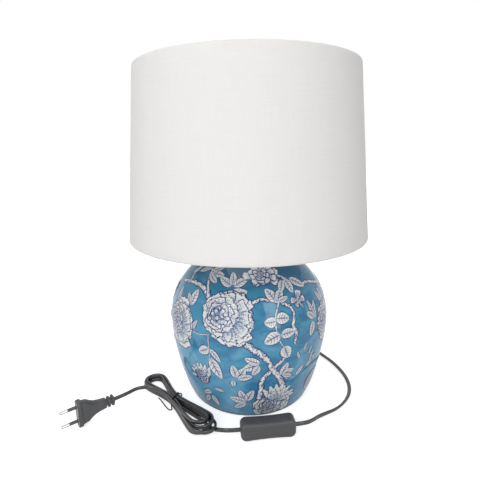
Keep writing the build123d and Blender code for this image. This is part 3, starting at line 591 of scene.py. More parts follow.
@dataclass
class FlatCord:
    """Flat twin cord from the lamp to the switch, and on through the hank to the plug.

    Points are in millimetres. The hank's are (along, across, height) in its own frame.
    The cord stands on its narrow edge from the switch's right end to the plug.
    """

    width: float = 5.0
    thickness: float = 3.2
    groove: float = 0.5
    lamp_side: list[Point] = field(default_factory=lambda: [
        (0, 112.0, 12), (0, 128.049, 12), (11, 143, 6), (32, 152, 2.25), (64, 136, 2.25),
        (92, 106, 2.25), (112.5, 66, 2.25), (130, 34, 2.25), (139.5, -6, 2.25),
        (134, -42, 2.8), (112, -71.5, 3.1), (84, -86, 3.8), (74.5, -98.5, 8.6),
        (63.83, -108.78, 11.9), (49.93, -110.43, 11.9)])
    switch_side: list[Point] = field(default_factory=lambda: [
        (-13.23, -117.97, 11.9), (-25.14, -119.39, 11.9), (-37.5, -115.0, 9.4),
        (-47.21, -104.62, 2.6)])
    plug_side: list[Point] = field(default_factory=lambda: [
        (-112.04, -53.0, 14.2), (-130, -41.5, 16.2), (-147.5, -43.5, 17.6),
        (-160.35, -58.01, 17.6), (-172.2, -67.2, 17.6)])
    hank_middle: tuple[float, float] = (-100.0, -52.0)
    hank_turn: float = -50.3
    entry: Point = (56.0, 7.0, 2.6)
    leave: Point = (10.0, -10.5, 14.2)
    waist_run: float = 10.0
    waists: tuple[tuple[float, float], ...] = ((1.8, 3.5), (5.3, 3.5), (5.3, 8.6), (1.8, 8.6))
    upper: tuple[tuple[float, float, float], ...] = (
        (49.5, 10.4, 2.6), (50.6, 13.9, 2.6), (49.4, 13.9, 7.6), (51.5, 10.4, 7.6))
    lower: tuple[tuple[float, float, float, float, float], ...] = (
        (64.0, 9.6, 16.9, 7.7, 7.7), (69.0, 13.2, 16.9, 7.7, 12.7),
        (64.0, 13.2, 13.3, 12.7, 12.7), (60.0, 9.6, 13.3, 12.7, 17.6))
    upright_from: int = 9
    tilt_step: float = 30.0
    outline_points: int = 24

    def hank_point(self, spot: Point) -> Point:
        """A point of the hank's own frame in the lamp's frame."""
        turn = math.radians(self.hank_turn)
        along, across, height = spot
        return (self.hank_middle[0] + along * math.cos(turn) - across * math.sin(turn),
                self.hank_middle[1] + along * math.sin(turn) + across * math.cos(turn), height)

    def half_turn(self, end: float, come: float, go: float, low: float, high: float
                  ) -> list[Point]:
        """Six points that turn the cord back at one end of the hank.

        Args:
            end: Where the turn starts along the hank, signed.
            come: Place across the hank where the cord comes in.
            go: Place across the hank where it goes out.
            low: Height coming in.
            high: Height going out.

        Returns:
            The points in the hank's frame.
        """
        way = math.copysign(1, end)
        radius, middle = abs(go - come) / 2, (go + come) / 2
        side = math.copysign(1, go - come)
        corner = radius * math.tan(math.pi / 8)
        rise = (high - low) / 3
        return [(end - way * corner, come, low), (end + way * corner, come, low),
                (end + way * radius, middle - side * corner, low + rise),
                (end + way * radius, middle + side * corner, high - rise),
                (end + way * corner, go, high), (end - way * corner, go, high)]

    def hank_route(self) -> list[Point]:
        """Points of the whole hank, from the switch's lead to the plug's."""
        points = [(self.entry[0] + 4, *self.entry[1:]), self.entry]
        for (waist, floor), (up, half, low), (down, come, go, rise, climb) in zip(
                self.waists, self.upper, self.lower):
            run = self.waist_run
            points += [(run, -waist, floor), (-run, -waist, floor)]
            points += self.half_turn(-up, -half, half, low, low)
            points += [(-run, waist, floor), (run, waist, floor)]
            points += self.half_turn(down, come, -go, rise, climb)
        points += [self.leave, (self.leave[0] - 4, *self.leave[1:])]
        return [self.hank_point(point) for point in points]

    def section(self) -> bpy.types.Object:
        """Hidden outline of the twin cord: two round cores side by side with a groove."""
        outline = bpy.data.curves.new("cord_section", "CURVE")
        outline.dimensions = "2D"
        line = outline.splines.new("POLY")
        line.points.add(self.outline_points - 1)
        for index, point in enumerate(line.points):
            turn = 2 * math.pi * index / self.outline_points
            across = squared(math.cos(turn), 0.8) * self.width / 2
            up = squared(math.sin(turn), 0.75) * self.thickness / 2
            waist = 1 - self.groove / self.thickness * math.exp(-(across / 0.5) ** 2)
            point.co = (across * MM, up * waist * MM, 0, 1)
        line.use_cyclic_u = True
        piece = linked("cord_section", outline)
        piece.hide_render = True
        piece.hide_viewport = True
        return piece

    def lay(self, name: str, points: list[Point], flat: int, section: bpy.types.Object,
            material: bpy.types.Material) -> bpy.types.Object:
        """One length of cord as a smooth curve.

        Args:
            name: Name of the piece.
            points: The route, in millimetres.
            flat: Number of its first points where it lies on its wide side. Then it tips up
                by a step at each point.
            section: The cord's outline.
            material: The sheath's finish.

        Returns:
            The curve object.
        """
        curve = bpy.data.curves.new(name, "CURVE")
        curve.dimensions = "3D"
        curve.resolution_u = 10
        curve.twist_mode = "Z_UP"
        curve.bevel_mode = "OBJECT"
        curve.bevel_object = section
        curve.use_fill_caps = True
        spline = curve.splines.new("NURBS")
        spline.points.add(len(points) - 1)
        for index, (knot, point) in enumerate(zip(spline.points, metres(points))):
            knot.co = (*point, 1)
            knot.tilt = math.radians(min(max(index - flat + 1, 0) * self.tilt_step, 90))
        spline.order_u = 3
        spline.use_endpoint_u = True
        spline.use_smooth = True
        curve.materials.append(material)
        return linked(name, curve)

    def build(self, material: bpy.types.Material) -> None:
        section = self.section()
        never_flat = 1 - round(90 / self.tilt_step)
        lamp = self.lay("cord_to_switch", self.lamp_side, self.upright_from, section, material)
        plug = self.lay("cord_to_plug", self.switch_side + self.hank_route() + self.plug_side,
                        never_flat, section, material)
        for piece, nodes in ((lamp, ["cord_lamp_side"]),
                             (plug, ["cord_switch_side", "cord_hank", "cord_plug_side"])):
            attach(piece, "root")
            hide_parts(*nodes)
        LOG.info("cord: two lengths laid")


@dataclass
class WireTie:
    """Thin tie round the hank's waist, with a small eye and a loose tail.

    Points are (along, across, height) in the hank's own frame, in millimetres.
    """

    cord: FlatCord
    radius: float = 0.75
    half_width: float = 7.7
    half_height: float = 5.4
    middle: float = 6.7
    slope: float = 0.5
    squareness: float = 0.3
    steps: int = 40
    tail: tuple[Point, ...] = ((6.6, -7.5, 5.5), (8.6, -8.6, 2.6), (12.4, -10.2, 1.2),
                               (10.2, -13.2, 1.1), (3.0, -13.4, 1.4), (-4.0, -13.0, 2.0),
                               (-11.0, -12.4, 2.8), (-18.0, -12.8, 3.4))
    eye_middle: Point = (1.2, 9.3, 8.2)
    eye_radius: float = 1.9

    def routes(self) -> list[tuple[list[Point], bool]]:
        """The band, the tail and the eye, each with whether it closes on itself."""
        band, eye = [], []
        for step in range(self.steps):
            turn = 2 * math.pi * step / self.steps
            side, up = math.cos(turn), math.sin(turn)
            across = squared(side, self.squareness) * self.half_width
            band.append((3 - self.slope * across, across,
                         self.middle + squared(up, self.squareness) * self.half_height))
            eye.append((self.eye_middle[0] + self.eye_radius * side,
                        self.eye_middle[1] + 0.5 * self.eye_radius * side,
                        self.eye_middle[2] + self.eye_radius * up))
        return [(band, True), (list(self.tail), False), (eye, True)]

    def build(self, material: bpy.types.Material) -> None:
        """Sweep the wire, turn it into one mesh and hide the CAD tie."""
        curve = bpy.data.curves.new("cord_wire_tie", "CURVE")
        curve.dimensions = "3D"
        curve.bevel_depth = self.radius * MM
        curve.bevel_resolution = 3
        curve.resolution_u = 8
        curve.use_fill_caps = True
        for route, closed in self.routes():
            spline = curve.splines.new("POLY" if closed else "NURBS")
            spline.points.add(len(route) - 1)
            for knot, point in zip(spline.points, route):
                knot.co = (*(Vector(self.cord.hank_point(point)) * MM), 1)
            spline.use_cyclic_u = closed
            if not closed:
                spline.order_u = 3
                spline.use_endpoint_u = True
        swept = bpy.data.objects.new("swept", curve)
        mesh = bpy.data.meshes.new_from_object(swept)
        bpy.data.objects.remove(swept)
        mesh.materials.clear()
        mesh.materials.append(material)
        for polygon in mesh.polygons:
            polygon.use_smooth = True
        piece = linked("cord_wire_tie", mesh)
        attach(piece, "root")
        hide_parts("cord_tie")
        LOG.info("tie: band, eye and tail made")


# ---------------------------------------------------------------- switch and plug

@dataclass
class Moulding:
    """Moulded shell made of rounded outlines stacked along its own axis.

    Outlines are in millimetres, x by y with z along the axis.
    """

    name: str
    frame: Matrix
    corner_steps: int = 8
    side_steps: int = 12
    sharp_angle: float = 38.0
    levels: list[list[Point]] = field(default_factory=list)

    def outline(self, height: float, width: float, depth: float, corner: float,
                waist: float = 0.0) -> None:
        """Add one outline.

        Args:
            height: Its place along the axis.
            width: Its size along x.
            depth: Its size along y.
            corner: Radius of its corners.
            waist: How far its long sides bow in at the middle.
        """
        half_x, half_y = width / 2 - corner, depth / 2 - corner
        points = []
        for way_x, way_y, start in ((1, 1, 0), (-1, 1, 90), (-1, -1, 180), (1, -1, 270)):
            for step in range(self.corner_steps + 1):
                turn = math.radians(start + 90 * step / self.corner_steps)
                points.append((way_x * half_x + corner * math.cos(turn),
                               way_y * half_y + corner * math.sin(turn)))
            if way_x == way_y:
                points += [(way_x * half_x * (1 - 2 * step / self.side_steps), way_y * depth / 2)
                           for step in range(1, self.side_steps)]
        self.levels.append([(x, y * (1 - waist / depth * 2 * (1 - (2 * x / width) ** 2)), height)
                            for x, y in points])

    def build(self, material: bpy.types.Material, slot: str, replaced: list[str],
              hollow: bool = False) -> None:
        """Join the outlines into a closed shell and hide what it replaces.

        Args:
            material: Its finish.
            slot: Its material slot; not used.
            replaced: CAD nodes that it stands in for.
            hollow: True if the last outline runs back to the first, else both ends close.
        """
        shape = bmesh.new()
        rings = [[shape.verts.new(Vector(point) * MM) for point in level]
                 for level in self.levels]
        pairs = list(zip(rings, rings[1:])) + ([(rings[-1], rings[0])] if hollow else [])
        for low, high in pairs:
            for i in range(len(low)):
                shape.faces.new((low[i - 1], low[i], high[i], high[i - 1]))
        if not hollow:
            shape.faces.new(rings[0][::-1])
            shape.faces.new(rings[-1])
        bmesh.ops.recalc_face_normals(shape, faces=shape.faces)
        shape.transform(self.frame)
        piece = shown_mesh(self.name, shape, [material])
        piece.data.set_sharp_from_angle(angle=math.radians(self.sharp_angle))
        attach(piece, "root")
        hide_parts(*replaced)
        LOG.info("%s: %d outlines", self.name, len(self.levels))


@dataclass
class Fittings:
    """Switch housing and plug body with the photograph's soft corners."""

    switch_middle: Point = (18.35, -114.2, 11.9)
    switch_turn: float = 6.8
    switch_size: tuple[float, float] = (63.6, 23.6)
    switch_corner: float = 7.2
    waist: float = 1.5
    front: float = -8.4
    split: float = -4.0
    back: float = 9.0
    edge: float = 3.4
    groove: float = 0.22
    lip: float = 1.2
    window: tuple[float, float] = (20.2, 10)
    plug_end: Point = (-172.2, -67.2, 17.6)
    plug_turn: float = 217.8
    flange: tuple[float, float] = (35.0, 13.6)
    boot_core: float = 3.8
    boot_length: float = 11.0
    ribs: int = 2
    rib: float = 2.8
    rib_size: tuple[float, float] = (13.0, 10.5)

    def frame(self, middle: Point, x: Vector, z: Vector) -> Matrix:
        """Place of a moulding whose x and z axes point these ways."""
        axes = Matrix((x, z.cross(x), z)).transposed().to_4x4()
        return Matrix.Translation(Vector(middle) * MM) @ axes

    def rounded(self, shell: Moulding, level: float, inset: float) -> None:
        """One outline of the switch, drawn in by an inset."""
        shell.outline(level, self.switch_size[0] - 2 * inset, self.switch_size[1] - 2 * inset,
                      self.switch_corner - 0.8 * inset, self.waist)

    def rounded_edge(self, shell: Moulding, face: float, way: int) -> None:
        """Quarter round at one face of the switch.

        Args:
            shell: The moulding.
            face: Place of the face along the axis.
            way: -1 for the front face, 1 for the back.
        """
        for step in range(7)[::-way]:
            turn = math.radians(90 * step / 6)
            self.rounded(shell, face - way * self.edge * (1 - math.cos(turn)),
                         self.edge * (1 - math.sin(turn)))

    def switch(self, material: bpy.types.Material) -> None:
        """Base towards the front and cover with the rocker's window behind."""
        turn = math.radians(self.switch_turn)
        frame = self.frame(self.switch_middle, Vector((-math.cos(turn), -math.sin(turn), 0)),
                           Vector((-math.sin(turn), math.cos(turn), 0)))
        base = Moulding("switch_housing_base", frame)
        self.rounded(base, self.front, self.edge + 0.8)
        self.rounded_edge(base, self.front, -1)
        for level, inset in ((-0.25, 0.0), (-0.02, self.groove), (-0.02, self.lip)):
            self.rounded(base, self.split + level, inset)
        base.build(material, "switch_black", ["switch_base"])
        cover = Moulding("switch_housing_cover", frame)
        for level, inset in ((0.0, self.lip), (0.0, self.groove), (0.25, 0.0)):
            self.rounded(cover, self.split + level, inset)
        self.rounded_edge(cover, self.back, 1)
        self.rounded(cover, self.back, self.edge + 0.5)
        for level in (self.back, self.split):
            cover.outline(level, *self.window, 0.4)
        cover.build(material, "switch_black", ["switch_cover"], hollow=True)

    def plug(self, material: bpy.types.Material) -> None:
        """Ribbed boot, tapering grip and stepped flange."""
        turn = math.radians(self.plug_turn)
        body = Moulding("plug_moulding", self.frame(
            self.plug_end, Vector((0, 0, 1)), Vector((math.cos(turn), math.sin(turn), 0))))
        core, length, rib = self.boot_core, self.boot_length, self.rib
        rib_wide, rib_deep = self.rib_size
        gap = (length - self.ribs * rib) / (self.ribs + 0.5)
        body.outline(0, 2 * core, 2 * core, core * 0.98)
        for index in range(self.ribs):
            low = 0.5 * gap + index * (rib + gap)
            for height, wide, deep in ((low - 0.05, 2 * core, 2 * core),
                                       (low, rib_wide - 0.8, rib_deep - 0.8),
                                       (low + 0.4, rib_wide, rib_deep),
                                       (low + rib - 0.4, rib_wide, rib_deep),
                                       (low + rib, rib_wide - 0.8, rib_deep - 0.8),
                                       (low + rib + 0.05, 2 * core, 2 * core)):
                body.outline(height, wide, deep, min(wide, deep) * 0.36)
        wide, deep = self.flange
        body.outline(length - 0.05, 2 * core, 2 * core, core * 0.7)
        levels = ((length, rib_wide - 0.6, rib_deep - 0.6), (length + 0.5, rib_wide, rib_deep),
                  (length + 4, 14.0, rib_deep - 0.4), (length + 9, 15.4, rib_deep - 0.8),
                  (length + 14, 18.0, 10.0), (length + 18.5, 23.0, 11.2),
                  (length + 22, 28.0, 12.5), (38.9, 30.6, 12.8), (39.6, 30.8, 12.6),
                  (39.8, 30.2, 12.0), (39.8, wide - 1.4, deep - 1.4),
                  (40.1, wide - 0.4, deep - 0.4), (40.7, wide, deep), (44.4, wide, deep),
                  (44.85, wide - 0.3, deep - 0.3), (45, wide - 0.9, deep - 0.9),
                  (45, wide - 3.3, deep - 3.3), (43.85, wide - 3.3, deep - 3.3))
        for height, across, thick in levels:
            body.outline(height, across, thick, thick * 0.42)
        body.build(material, "plug_black", ["plug_body"])


# -------------------------------------------------------------------------- shade

@dataclass
class Shade:
    """Drum shade's cloth: one sheet over the liner, turned in round both rim wires."""

    bottom_radius: float = 150.0
    top_radius: float = 132.0
    bottom_height: float = 214.4
    height: float = 201.0
    cloth: float = 0.9
    liner: float = 0.7
    wire: float = 1.6
    hem: float = 12.0
    hem_flat: float = 4.0
    steps: int = 192
    rows: int = 20

    @property
    def slant(self) -> float:
        """Length of the cloth up its slope."""
        return math.hypot(self.bottom_radius - self.top_radius, self.height)

    def at(self, up: float, depth: float) -> Vector:
        """A point this far up the slant and this deep below the cloth, in metres."""
        lean = (self.top_radius - self.bottom_radius) / self.slant, self.height / self.slant
        return Vector((self.bottom_radius + up * lean[0] - depth * lean[1], 0,
                       self.bottom_height + up * lean[1] + depth * lean[0])) * MM

    def rim(self, end: float, way: int) -> tuple[list[Vector], list[Vector]]:
        """Outer and inner line of the cloth turned round one wire.

        Args:
            end: Slant distance of the rim.
            way: 1 at the bottom, -1 at the top.

        Returns:
            Points from the outside, over the rim and down the turned-in hem.
        """
        roll = self.cloth + self.wire
        outer, inner = [], []
        for step in range(9):
            turn = math.pi * step / 8
            for line, radius in ((outer, roll), (inner, self.wire)):
                line.append(self.at(end + way * (roll - radius * math.sin(turn)),
                                    roll - radius * math.cos(turn)))
        lining = self.cloth + self.liner
        back = end + way * (self.hem - self.hem_flat), end + way * self.hem
        outer += [self.at(place, lining + self.cloth) for place in back]
        inner += [self.at(place, lining) for place in back]
        return outer, inner

    def build(self, material: bpy.types.Material) -> None:
        """Spin the section into the cloth, and add the glued seam at the back."""
        roll = self.cloth + self.wire
        low_out, low_in = self.rim(0, 1)
        top_out, top_in = self.rim(self.slant, -1)
        ups = [roll + (self.slant - 2 * roll) * row / self.rows for row in range(1, self.rows)]
        outer = low_out[::-1] + [self.at(up, 0) for up in ups] + top_out
        inner = low_in[::-1] + [self.at(up, self.cloth) for up in ups] + top_in
        ring = outer + inner[::-1]
        shape = bmesh.new()
        start = [shape.verts.new(point) for point in ring]
        edges = [shape.edges.new((start[i - 1], start[i])) for i in range(len(start))]
        bmesh.ops.spin(shape, geom=start + edges, cent=(0, 0, 0), axis=(0, 0, 1),
                       angle=2 * math.pi, steps=self.steps, use_merge=True)
        bmesh.ops.remove_doubles(shape, verts=shape.verts, dist=1e-6)
        bmesh.ops.recalc_face_normals(shape, faces=shape.faces)
        self.unroll(shape)
        cloth = shown_mesh("shade_sheet", shape, [material])
        seam = self.seam(material)
        for piece in (cloth, seam):
            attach(piece, "shade")
        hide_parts("shade_fabric")
        LOG.info("shade: cloth and seam made")

    def unroll(self, shape: bmesh.types.BMesh) -> None:
        """Give the cloth a UV map in metres, round the shade and up it."""
        layer = shape.loops.layers.uv.new("Cloth")
        for face in shape.faces:
            turns = [math.atan2(loop.vert.co.x, loop.vert.co.y) for loop in face.loops]
            wraps = max(turns) - min(turns) > math.pi
            for loop, turn in zip(face.loops, turns):
                if wraps and turn < 0:
                    turn += 2 * math.pi
                loop[layer].uv = (turn * self.bottom_radius * MM, loop.vert.co.z)

    def seam(self, material: bpy.types.Material) -> bpy.types.Object:
        """Glued overlap of the cloth, straight up the back."""
        width, lift, sunk, rows, inset = 10.0, 0.28, 0.03, 24, 0.6
        shape = bmesh.new()
        made = bmesh.ops.create_grid(shape, x_segments=6, y_segments=rows, size=0.5)
        for vert in made["verts"]:
            across, along = vert.co.x * width, vert.co.y + 0.5
            spot = self.at(inset + (self.slant - 2 * inset) * along,
                           -lift if abs(vert.co.x) < 0.45 else -sunk)
            turn = across / (spot.x / MM)
            vert.co = (-spot.x * math.sin(turn), spot.x * math.cos(turn), spot.z)
        self.unroll(shape)
        return shown_mesh("shade_seam", shape, [material])


# -------------------------------------------------------------------- jar painting

@dataclass
class JarSkin:
    """The jar's outer surface, read from its CAD mesh as a radius for each height."""

    node: bpy.types.Object
    low: float = 0.0045
    high: float = 0.1985
    rows: int = 260
    probes: tuple[float, ...] = (0.3, 1.7, 3.1, 4.4)

    def __post_init__(self) -> None:
        """Cast inwards at each height and add up the length of the outline."""
        tree = BVHTree.FromObject(self.node, bpy.context.evaluated_depsgraph_get())
        self.heights = [self.low + (self.high - self.low) * row / (self.rows - 1)
                        for row in range(self.rows)]
        self.radii = []
        for height in self.heights:
            found = []
            for turn in self.probes:
                way = Vector((math.sin(turn), -math.cos(turn), 0))
                hit = tree.ray_cast(way * 0.2 + Vector((0, 0, height)), -way)[0]
                found.append(math.hypot(hit.x, hit.y))
            self.radii.append(max(found))
        self.lengths = [0.0]
        for row in range(1, self.rows):
            step = math.hypot(self.radii[row] - self.radii[row - 1],
                              self.heights[row] - self.heights[row - 1])
            self.lengths.append(self.lengths[-1] + step)

    def length_at(self, height: float) -> float:
        """Distance along the outline from its lowest point to a height."""
        row = min(max(bisect_left(self.heights, height), 1), self.rows - 1)
        share = (height - self.heights[row - 1]) / (self.heights[row] - self.heights[row - 1])
        return self.lengths[row - 1] + share * (self.lengths[row] - self.lengths[row - 1])

    def outline(self, length: float) -> tuple[float, float, float, float]:
        """Radius, height and outward direction at a distance along the outline."""
        length = min(max(length, 0.0), self.lengths[-1])
        row = min(max(bisect_left(self.lengths, length), 1), self.rows - 1)
        span = self.lengths[row] - self.lengths[row - 1]
        share = (length - self.lengths[row - 1]) / span
        low, high = max(row - 3, 0), min(row + 2, self.rows - 1)
        out, up = self.radii[high] - self.radii[low], self.heights[high] - self.heights[low]
        size = math.hypot(out, up)
        return (self.radii[row - 1] + share * (self.radii[row] - self.radii[row - 1]),
                self.heights[row - 1] + share * (self.heights[row] - self.heights[row - 1]),
                up / size, -out / size)

    def at(self, turn: float, length: float, lift: float) -> Vector:
        """A point over the skin.

        Args:
            turn: Angle round the jar from its front towards its right, in radians.
            length: Distance along the outline, in metres.
            lift: Height over the glaze, in metres.

        Returns:
            The point in the lamp's frame.
        """
        radius, height, out, up = self.outline(length)
        radius, height = radius + lift * out, height + lift * up
        return Vector((radius * math.sin(turn), -radius * math.cos(turn), height))


@dataclass
class Painting:
    """All painted shapes of one kind, gathered in one thin mesh on the jar."""

    motif: Motif
    skin: JarSkin

    def __post_init__(self) -> None:
        """Start an empty mesh with the two brush maps."""
        self.shape = bmesh.new()
        self.brush = self.shape.loops.layers.uv.new("Brush")
        self.span = self.shape.loops.layers.uv.new("Span")
        self.count = 0

    def add(self, cells: tuple[int, int], width: float, length: float,
            place: Callable[[float, float], tuple[float, float]], lift: float) -> None:
        """Add one painted shape.

        Args:
            cells: Number of cells across and along.
            width: Width of the shape in metres.
            length: Length of the shape in metres.
            place: Gives (turn, outline length) for a place across and along.
            lift: Height over the glaze, in metres.
        """
        made = bmesh.ops.create_grid(self.shape, x_segments=cells[0], y_segments=cells[1],
                                     size=0.5)
        spots = {vert: (vert.co.x + 0.5, vert.co.y + 0.5) for vert in made["verts"]}
        for vert, spot in spots.items():
            vert.co = self.skin.at(*place(*spot), lift)
        for face in {face for vert in spots for face in vert.link_faces}:
            for loop in face.loops:
                loop[self.brush].uv = spots[loop.vert]
                loop[self.span].uv = (width, length)
        self.count += 1

    def finish(self, material: bpy.types.Material) -> bpy.types.Object:
        """Turn the gathered shapes into one piece that rides on the lamp."""
        piece = shown_mesh("jar_painted_" + self.motif.value, self.shape, [material])
        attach(piece, "root")
        LOG.info("%s: %d shapes", piece.name, self.count)
        return piece


@dataclass
class JarPainting:
    """Peonies, branches, leaves and a butterfly painted round the jar.

    A spot is (angle in degrees from the front towards the right, height in mm), a size is
    in mm, and a direction is in degrees, 0 upwards and 90 to the right.
    """

    skin: JarSkin
    seed: int = 7
    first_lift: float = 0.00011
    lift_step: float = 0.0000006

    def __post_init__(self) -> None:
        """Start a mesh for each kind of shape."""
        self.chance = random.Random(self.seed)
        self.sheets = {motif: Painting(motif, self.skin) for motif in Motif}
        self.layer = 0
        self.turned = 0.0

    def next_lift(self) -> float:
        """Height over the glaze for the next shape, so that later ones lie on top."""
        self.layer += 1
        return self.first_lift + self.lift_step * self.layer

    def placer(self, spot: tuple[float, float], direction: float
               ) -> Callable[[float, float], tuple[float, float]]:
        """Function from mm beside and along a direction to (turn, outline length).

        Args:
            spot: Where the shape starts.
            direction: Where it points.

        Returns:
            The function, which takes the mm beside and the mm ahead.
        """
        turn0 = math.radians(spot[0] + self.turned)
        length0 = self.skin.length_at(spot[1] * MM)
        way = math.radians(direction)

        def place(beside: float, ahead: float) -> tuple[float, float]:
            """Where a spot beside and ahead of the start lies on the jar."""
            right = beside * math.cos(way) + ahead * math.sin(way)
            up = -beside * math.sin(way) + ahead * math.cos(way)
            length = length0 + up * MM
            return turn0 + right * MM / max(self.skin.outline(length)[0], 0.02), length
        return place

    def petal(self, spot: tuple[float, float], direction: float, start: float, end: float,
              width: float, point: float = 0.0, lobes: int = 3) -> None:
        """One petal that fans out from near a flower's middle.

        Args:
            spot: The flower's middle.
            direction: Where the petal points.
            start: Distance of its root from the middle.
            end: Distance of its tip.
            width: Its greatest width.
            point: 0 for a round scalloped tip, 1 for a pointed one.
            lobes: Number of scallops at the tip.
        """
        put = self.placer(spot, direction)
        length = end - start
        curl = self.chance.uniform(-0.12, 0.12) * length
        phase = self.chance.uniform(-0.4, 0.4)

        def place(across: float, along: float) -> tuple[float, float]:
            """Where a spot of the petal lies on the jar."""
            side = 2 * across - 1
            belly = math.sin(math.pi * min(along, 0.68) / 1.36) ** 0.8
            taper = 1 - point * max(along - 0.5, 0) / 0.5
            half = width / 2 * (0.3 + 0.7 * belly) * taper
            crown = (1 - point) * along ** 2 * length
            scallop = 0.045 * math.cos(lobes * math.pi * side + phase) - 0.2 * side * side
            return put(side * half + curl * along * along,
                       start + along * length + crown * scallop)
        self.sheets[Motif.PETAL].add((12, 7), width * MM, length * MM, place, self.next_lift())

    def peony(self, spot: tuple[float, float], radius: float, rings: int = 4,
              squash: float = 1.0, tilt: float = 0.0) -> None:
        """A full flower of ruffled rings, the outer ones first.

        Args:
            spot: Its middle.
            radius: Its radius.
            rings: Number of rings of petals.
            squash: Width against height.
            tilt: Turn of the whole flower.
        """
        core = (spot[0] - 0.2 * radius, spot[1] + 0.07 * radius)
        for ring in range(rings + 2):
            share = 1 - 0.86 * (ring / (rings + 1)) ** 0.9
            count = max(5, 9 - ring)
            for index in range(count):
                direction = tilt + 360 * (index + 0.5 * (ring % 2)) / count
                direction += self.chance.uniform(-9, 9)
                reach = radius * share * self.chance.uniform(0.9, 1.08)
                reach *= math.hypot(squash * math.sin(math.radians(direction)),
                                    math.cos(math.radians(direction)))
                width = 2 * radius * share * math.sin(math.pi / count) * 1.4
                self.petal(spot if ring < 2 else core, direction, reach * 0.25, reach, width,
                           lobes=self.chance.choice((2, 3, 4)))
        for _ in range(rings * (rings - 1)):
            away, way = radius * 0.3 * self.chance.random(), self.chance.uniform(0, 360)
            crumb = (core[0] + 0.6 * away * math.sin(math.radians(way)),
                     core[1] + away * math.cos(math.radians(way)))
            self.petal(crumb, self.chance.uniform(0, 360), 0, radius * 0.2, radius * 0.2, lobes=2)

    def lotus(self, spot: tuple[float, float], radius: float, direction: float,
              count: int = 7, spread: float = 150.0) -> None:
        """A flower of pointed petals that fan out to one side.

        Args:
            spot: Where the petals meet.
            radius: Length of the longest petals.
            direction: Where the middle petal points.
            count: Number of petals in the outer ring.
            spread: Angle between its first and last petal.
        """
        for ring, share in ((0, 1.0), (1, 0.8), (2, 0.58)):
            for index in range(count - ring):
                way = direction + spread * (index / max(count - ring - 1, 1) - 0.5)
                self.petal(spot, way, radius * 0.05, radius * share, radius * 0.42, point=0.9)

    def leaf(self, spot: tuple[float, float], direction: float, length: float,
             width: float, bend: float = 0.0) -> None:
        """One leaf with a pointed tip, from its foot.

        Args:
            spot: Where its stalk joins.
            direction: Where it points.
            length: Its length.
            width: Its width.
            bend: Sideways bow of its middle line.
        """
        put = self.placer(spot, direction)

        def place(across: float, along: float) -> tuple[float, float]:
            """Where a spot of the leaf lies on the jar."""
            half = width / 2 * math.sin(math.pi * along ** 0.8) ** 0.72
            return put((2 * across - 1) * half + bend * math.sin(math.pi * along),
                       along * length)
        self.sheets[Motif.LEAF].add((8, 12), width * MM, length * MM * 2, place,
                                    self.next_lift())

    def branch(self, spots: list[tuple[float, float]], start: float, end: float,
               rough: float = 0.25) -> None:
        """A branch through several spots.

        Args:
            spots: Points that it passes, each (angle, height).
            start: Its width at the first.
            end: Its width at the last.
            rough: How knotty its edges are.
        """
        path = [(math.radians(angle + self.turned), self.skin.length_at(height * MM))
                for angle, height in spots]
        path = [path[0]] + path + [path[-1]]
        cells = 10 * (len(spots) - 1)
        knots = [self.chance.uniform(-rough, rough) for _ in range(2 * (cells + 2))]
        total = sum(math.hypot((b[0] - a[0]) * 0.09, b[1] - a[1])
                    for a, b in zip(path, path[1:]))

        def middle(along: float) -> Vector:
            """A point of the middle line, as (turn, outline length)."""
            where = along * (len(path) - 3)
            index = min(int(where), len(path) - 4)
            share = where - index
            a, b, c, d = (Vector(path[index + step]) for step in range(4))
            return 0.5 * (2 * b + (c - a) * share + (2 * a - 5 * b + 4 * c - d) * share ** 2
                          + (3 * b - a - 3 * c + d) * share ** 3)

        def place(across: float, along: float) -> tuple[float, float]:
            """Where a spot of the branch lies on the jar."""
            spot = middle(along)
            radius = self.skin.outline(spot.y)[0]
            ahead = middle(min(along + 0.01, 1)) - middle(max(along - 0.01, 0))
            way = Vector((ahead.x * radius, ahead.y)).normalized()
            side = 2 * across - 1
            cell = min(int(along * cells), cells)
            bump = knots[2 * cell + (side > 0)]
            half = (start + (end - start) * along) / 2 * MM * side * (1 + bump)
            return spot.x + way.y * half / radius, spot.y - way.x * half
        self.sheets[Motif.BRANCH].add((4, cells), (start + end) / 2 * MM, total, place,
                                      self.next_lift())

    def blossom(self, spot: tuple[float, float], size: float) -> None:
        """A small round blossom of five petals."""
        for index in range(5):
            self.petal(spot, 72 * index + self.chance.uniform(-8, 8), 0, size, size * 1.1,
                       lobes=1)

    def butterfly(self, spot: tuple[float, float], size: float, tilt: float) -> None:
        """A butterfly seen from above: four wings, a body and two feelers.

        Args:
            spot: Its middle.
            size: Length of its longest wing.
            tilt: Where its head points.
        """
        for way, reach, width in ((-38, 0.8, 0.62), (46, 1.0, 0.72), (-104, 0.55, 0.5),
                                  (112, 0.8, 0.6)):
            self.petal(spot, tilt + way, 0, size * reach, size * width, lobes=3)
            self.leaf(spot, tilt + way, size * reach * 0.8, size * width * 0.5)
        self.leaf(spot, tilt + 180, size * 0.7, size * 0.2)
        self.leaf(spot, tilt, size * 0.35, size * 0.18)
        for way in (-24, 24):
            self.leaf(spot, tilt + way, size * 0.75, size * 0.05)

    def side(self) -> None:
        """The scene that the photograph shows, about 150 degrees wide."""
        self.branches()
        self.foliage()
        self.flowers()

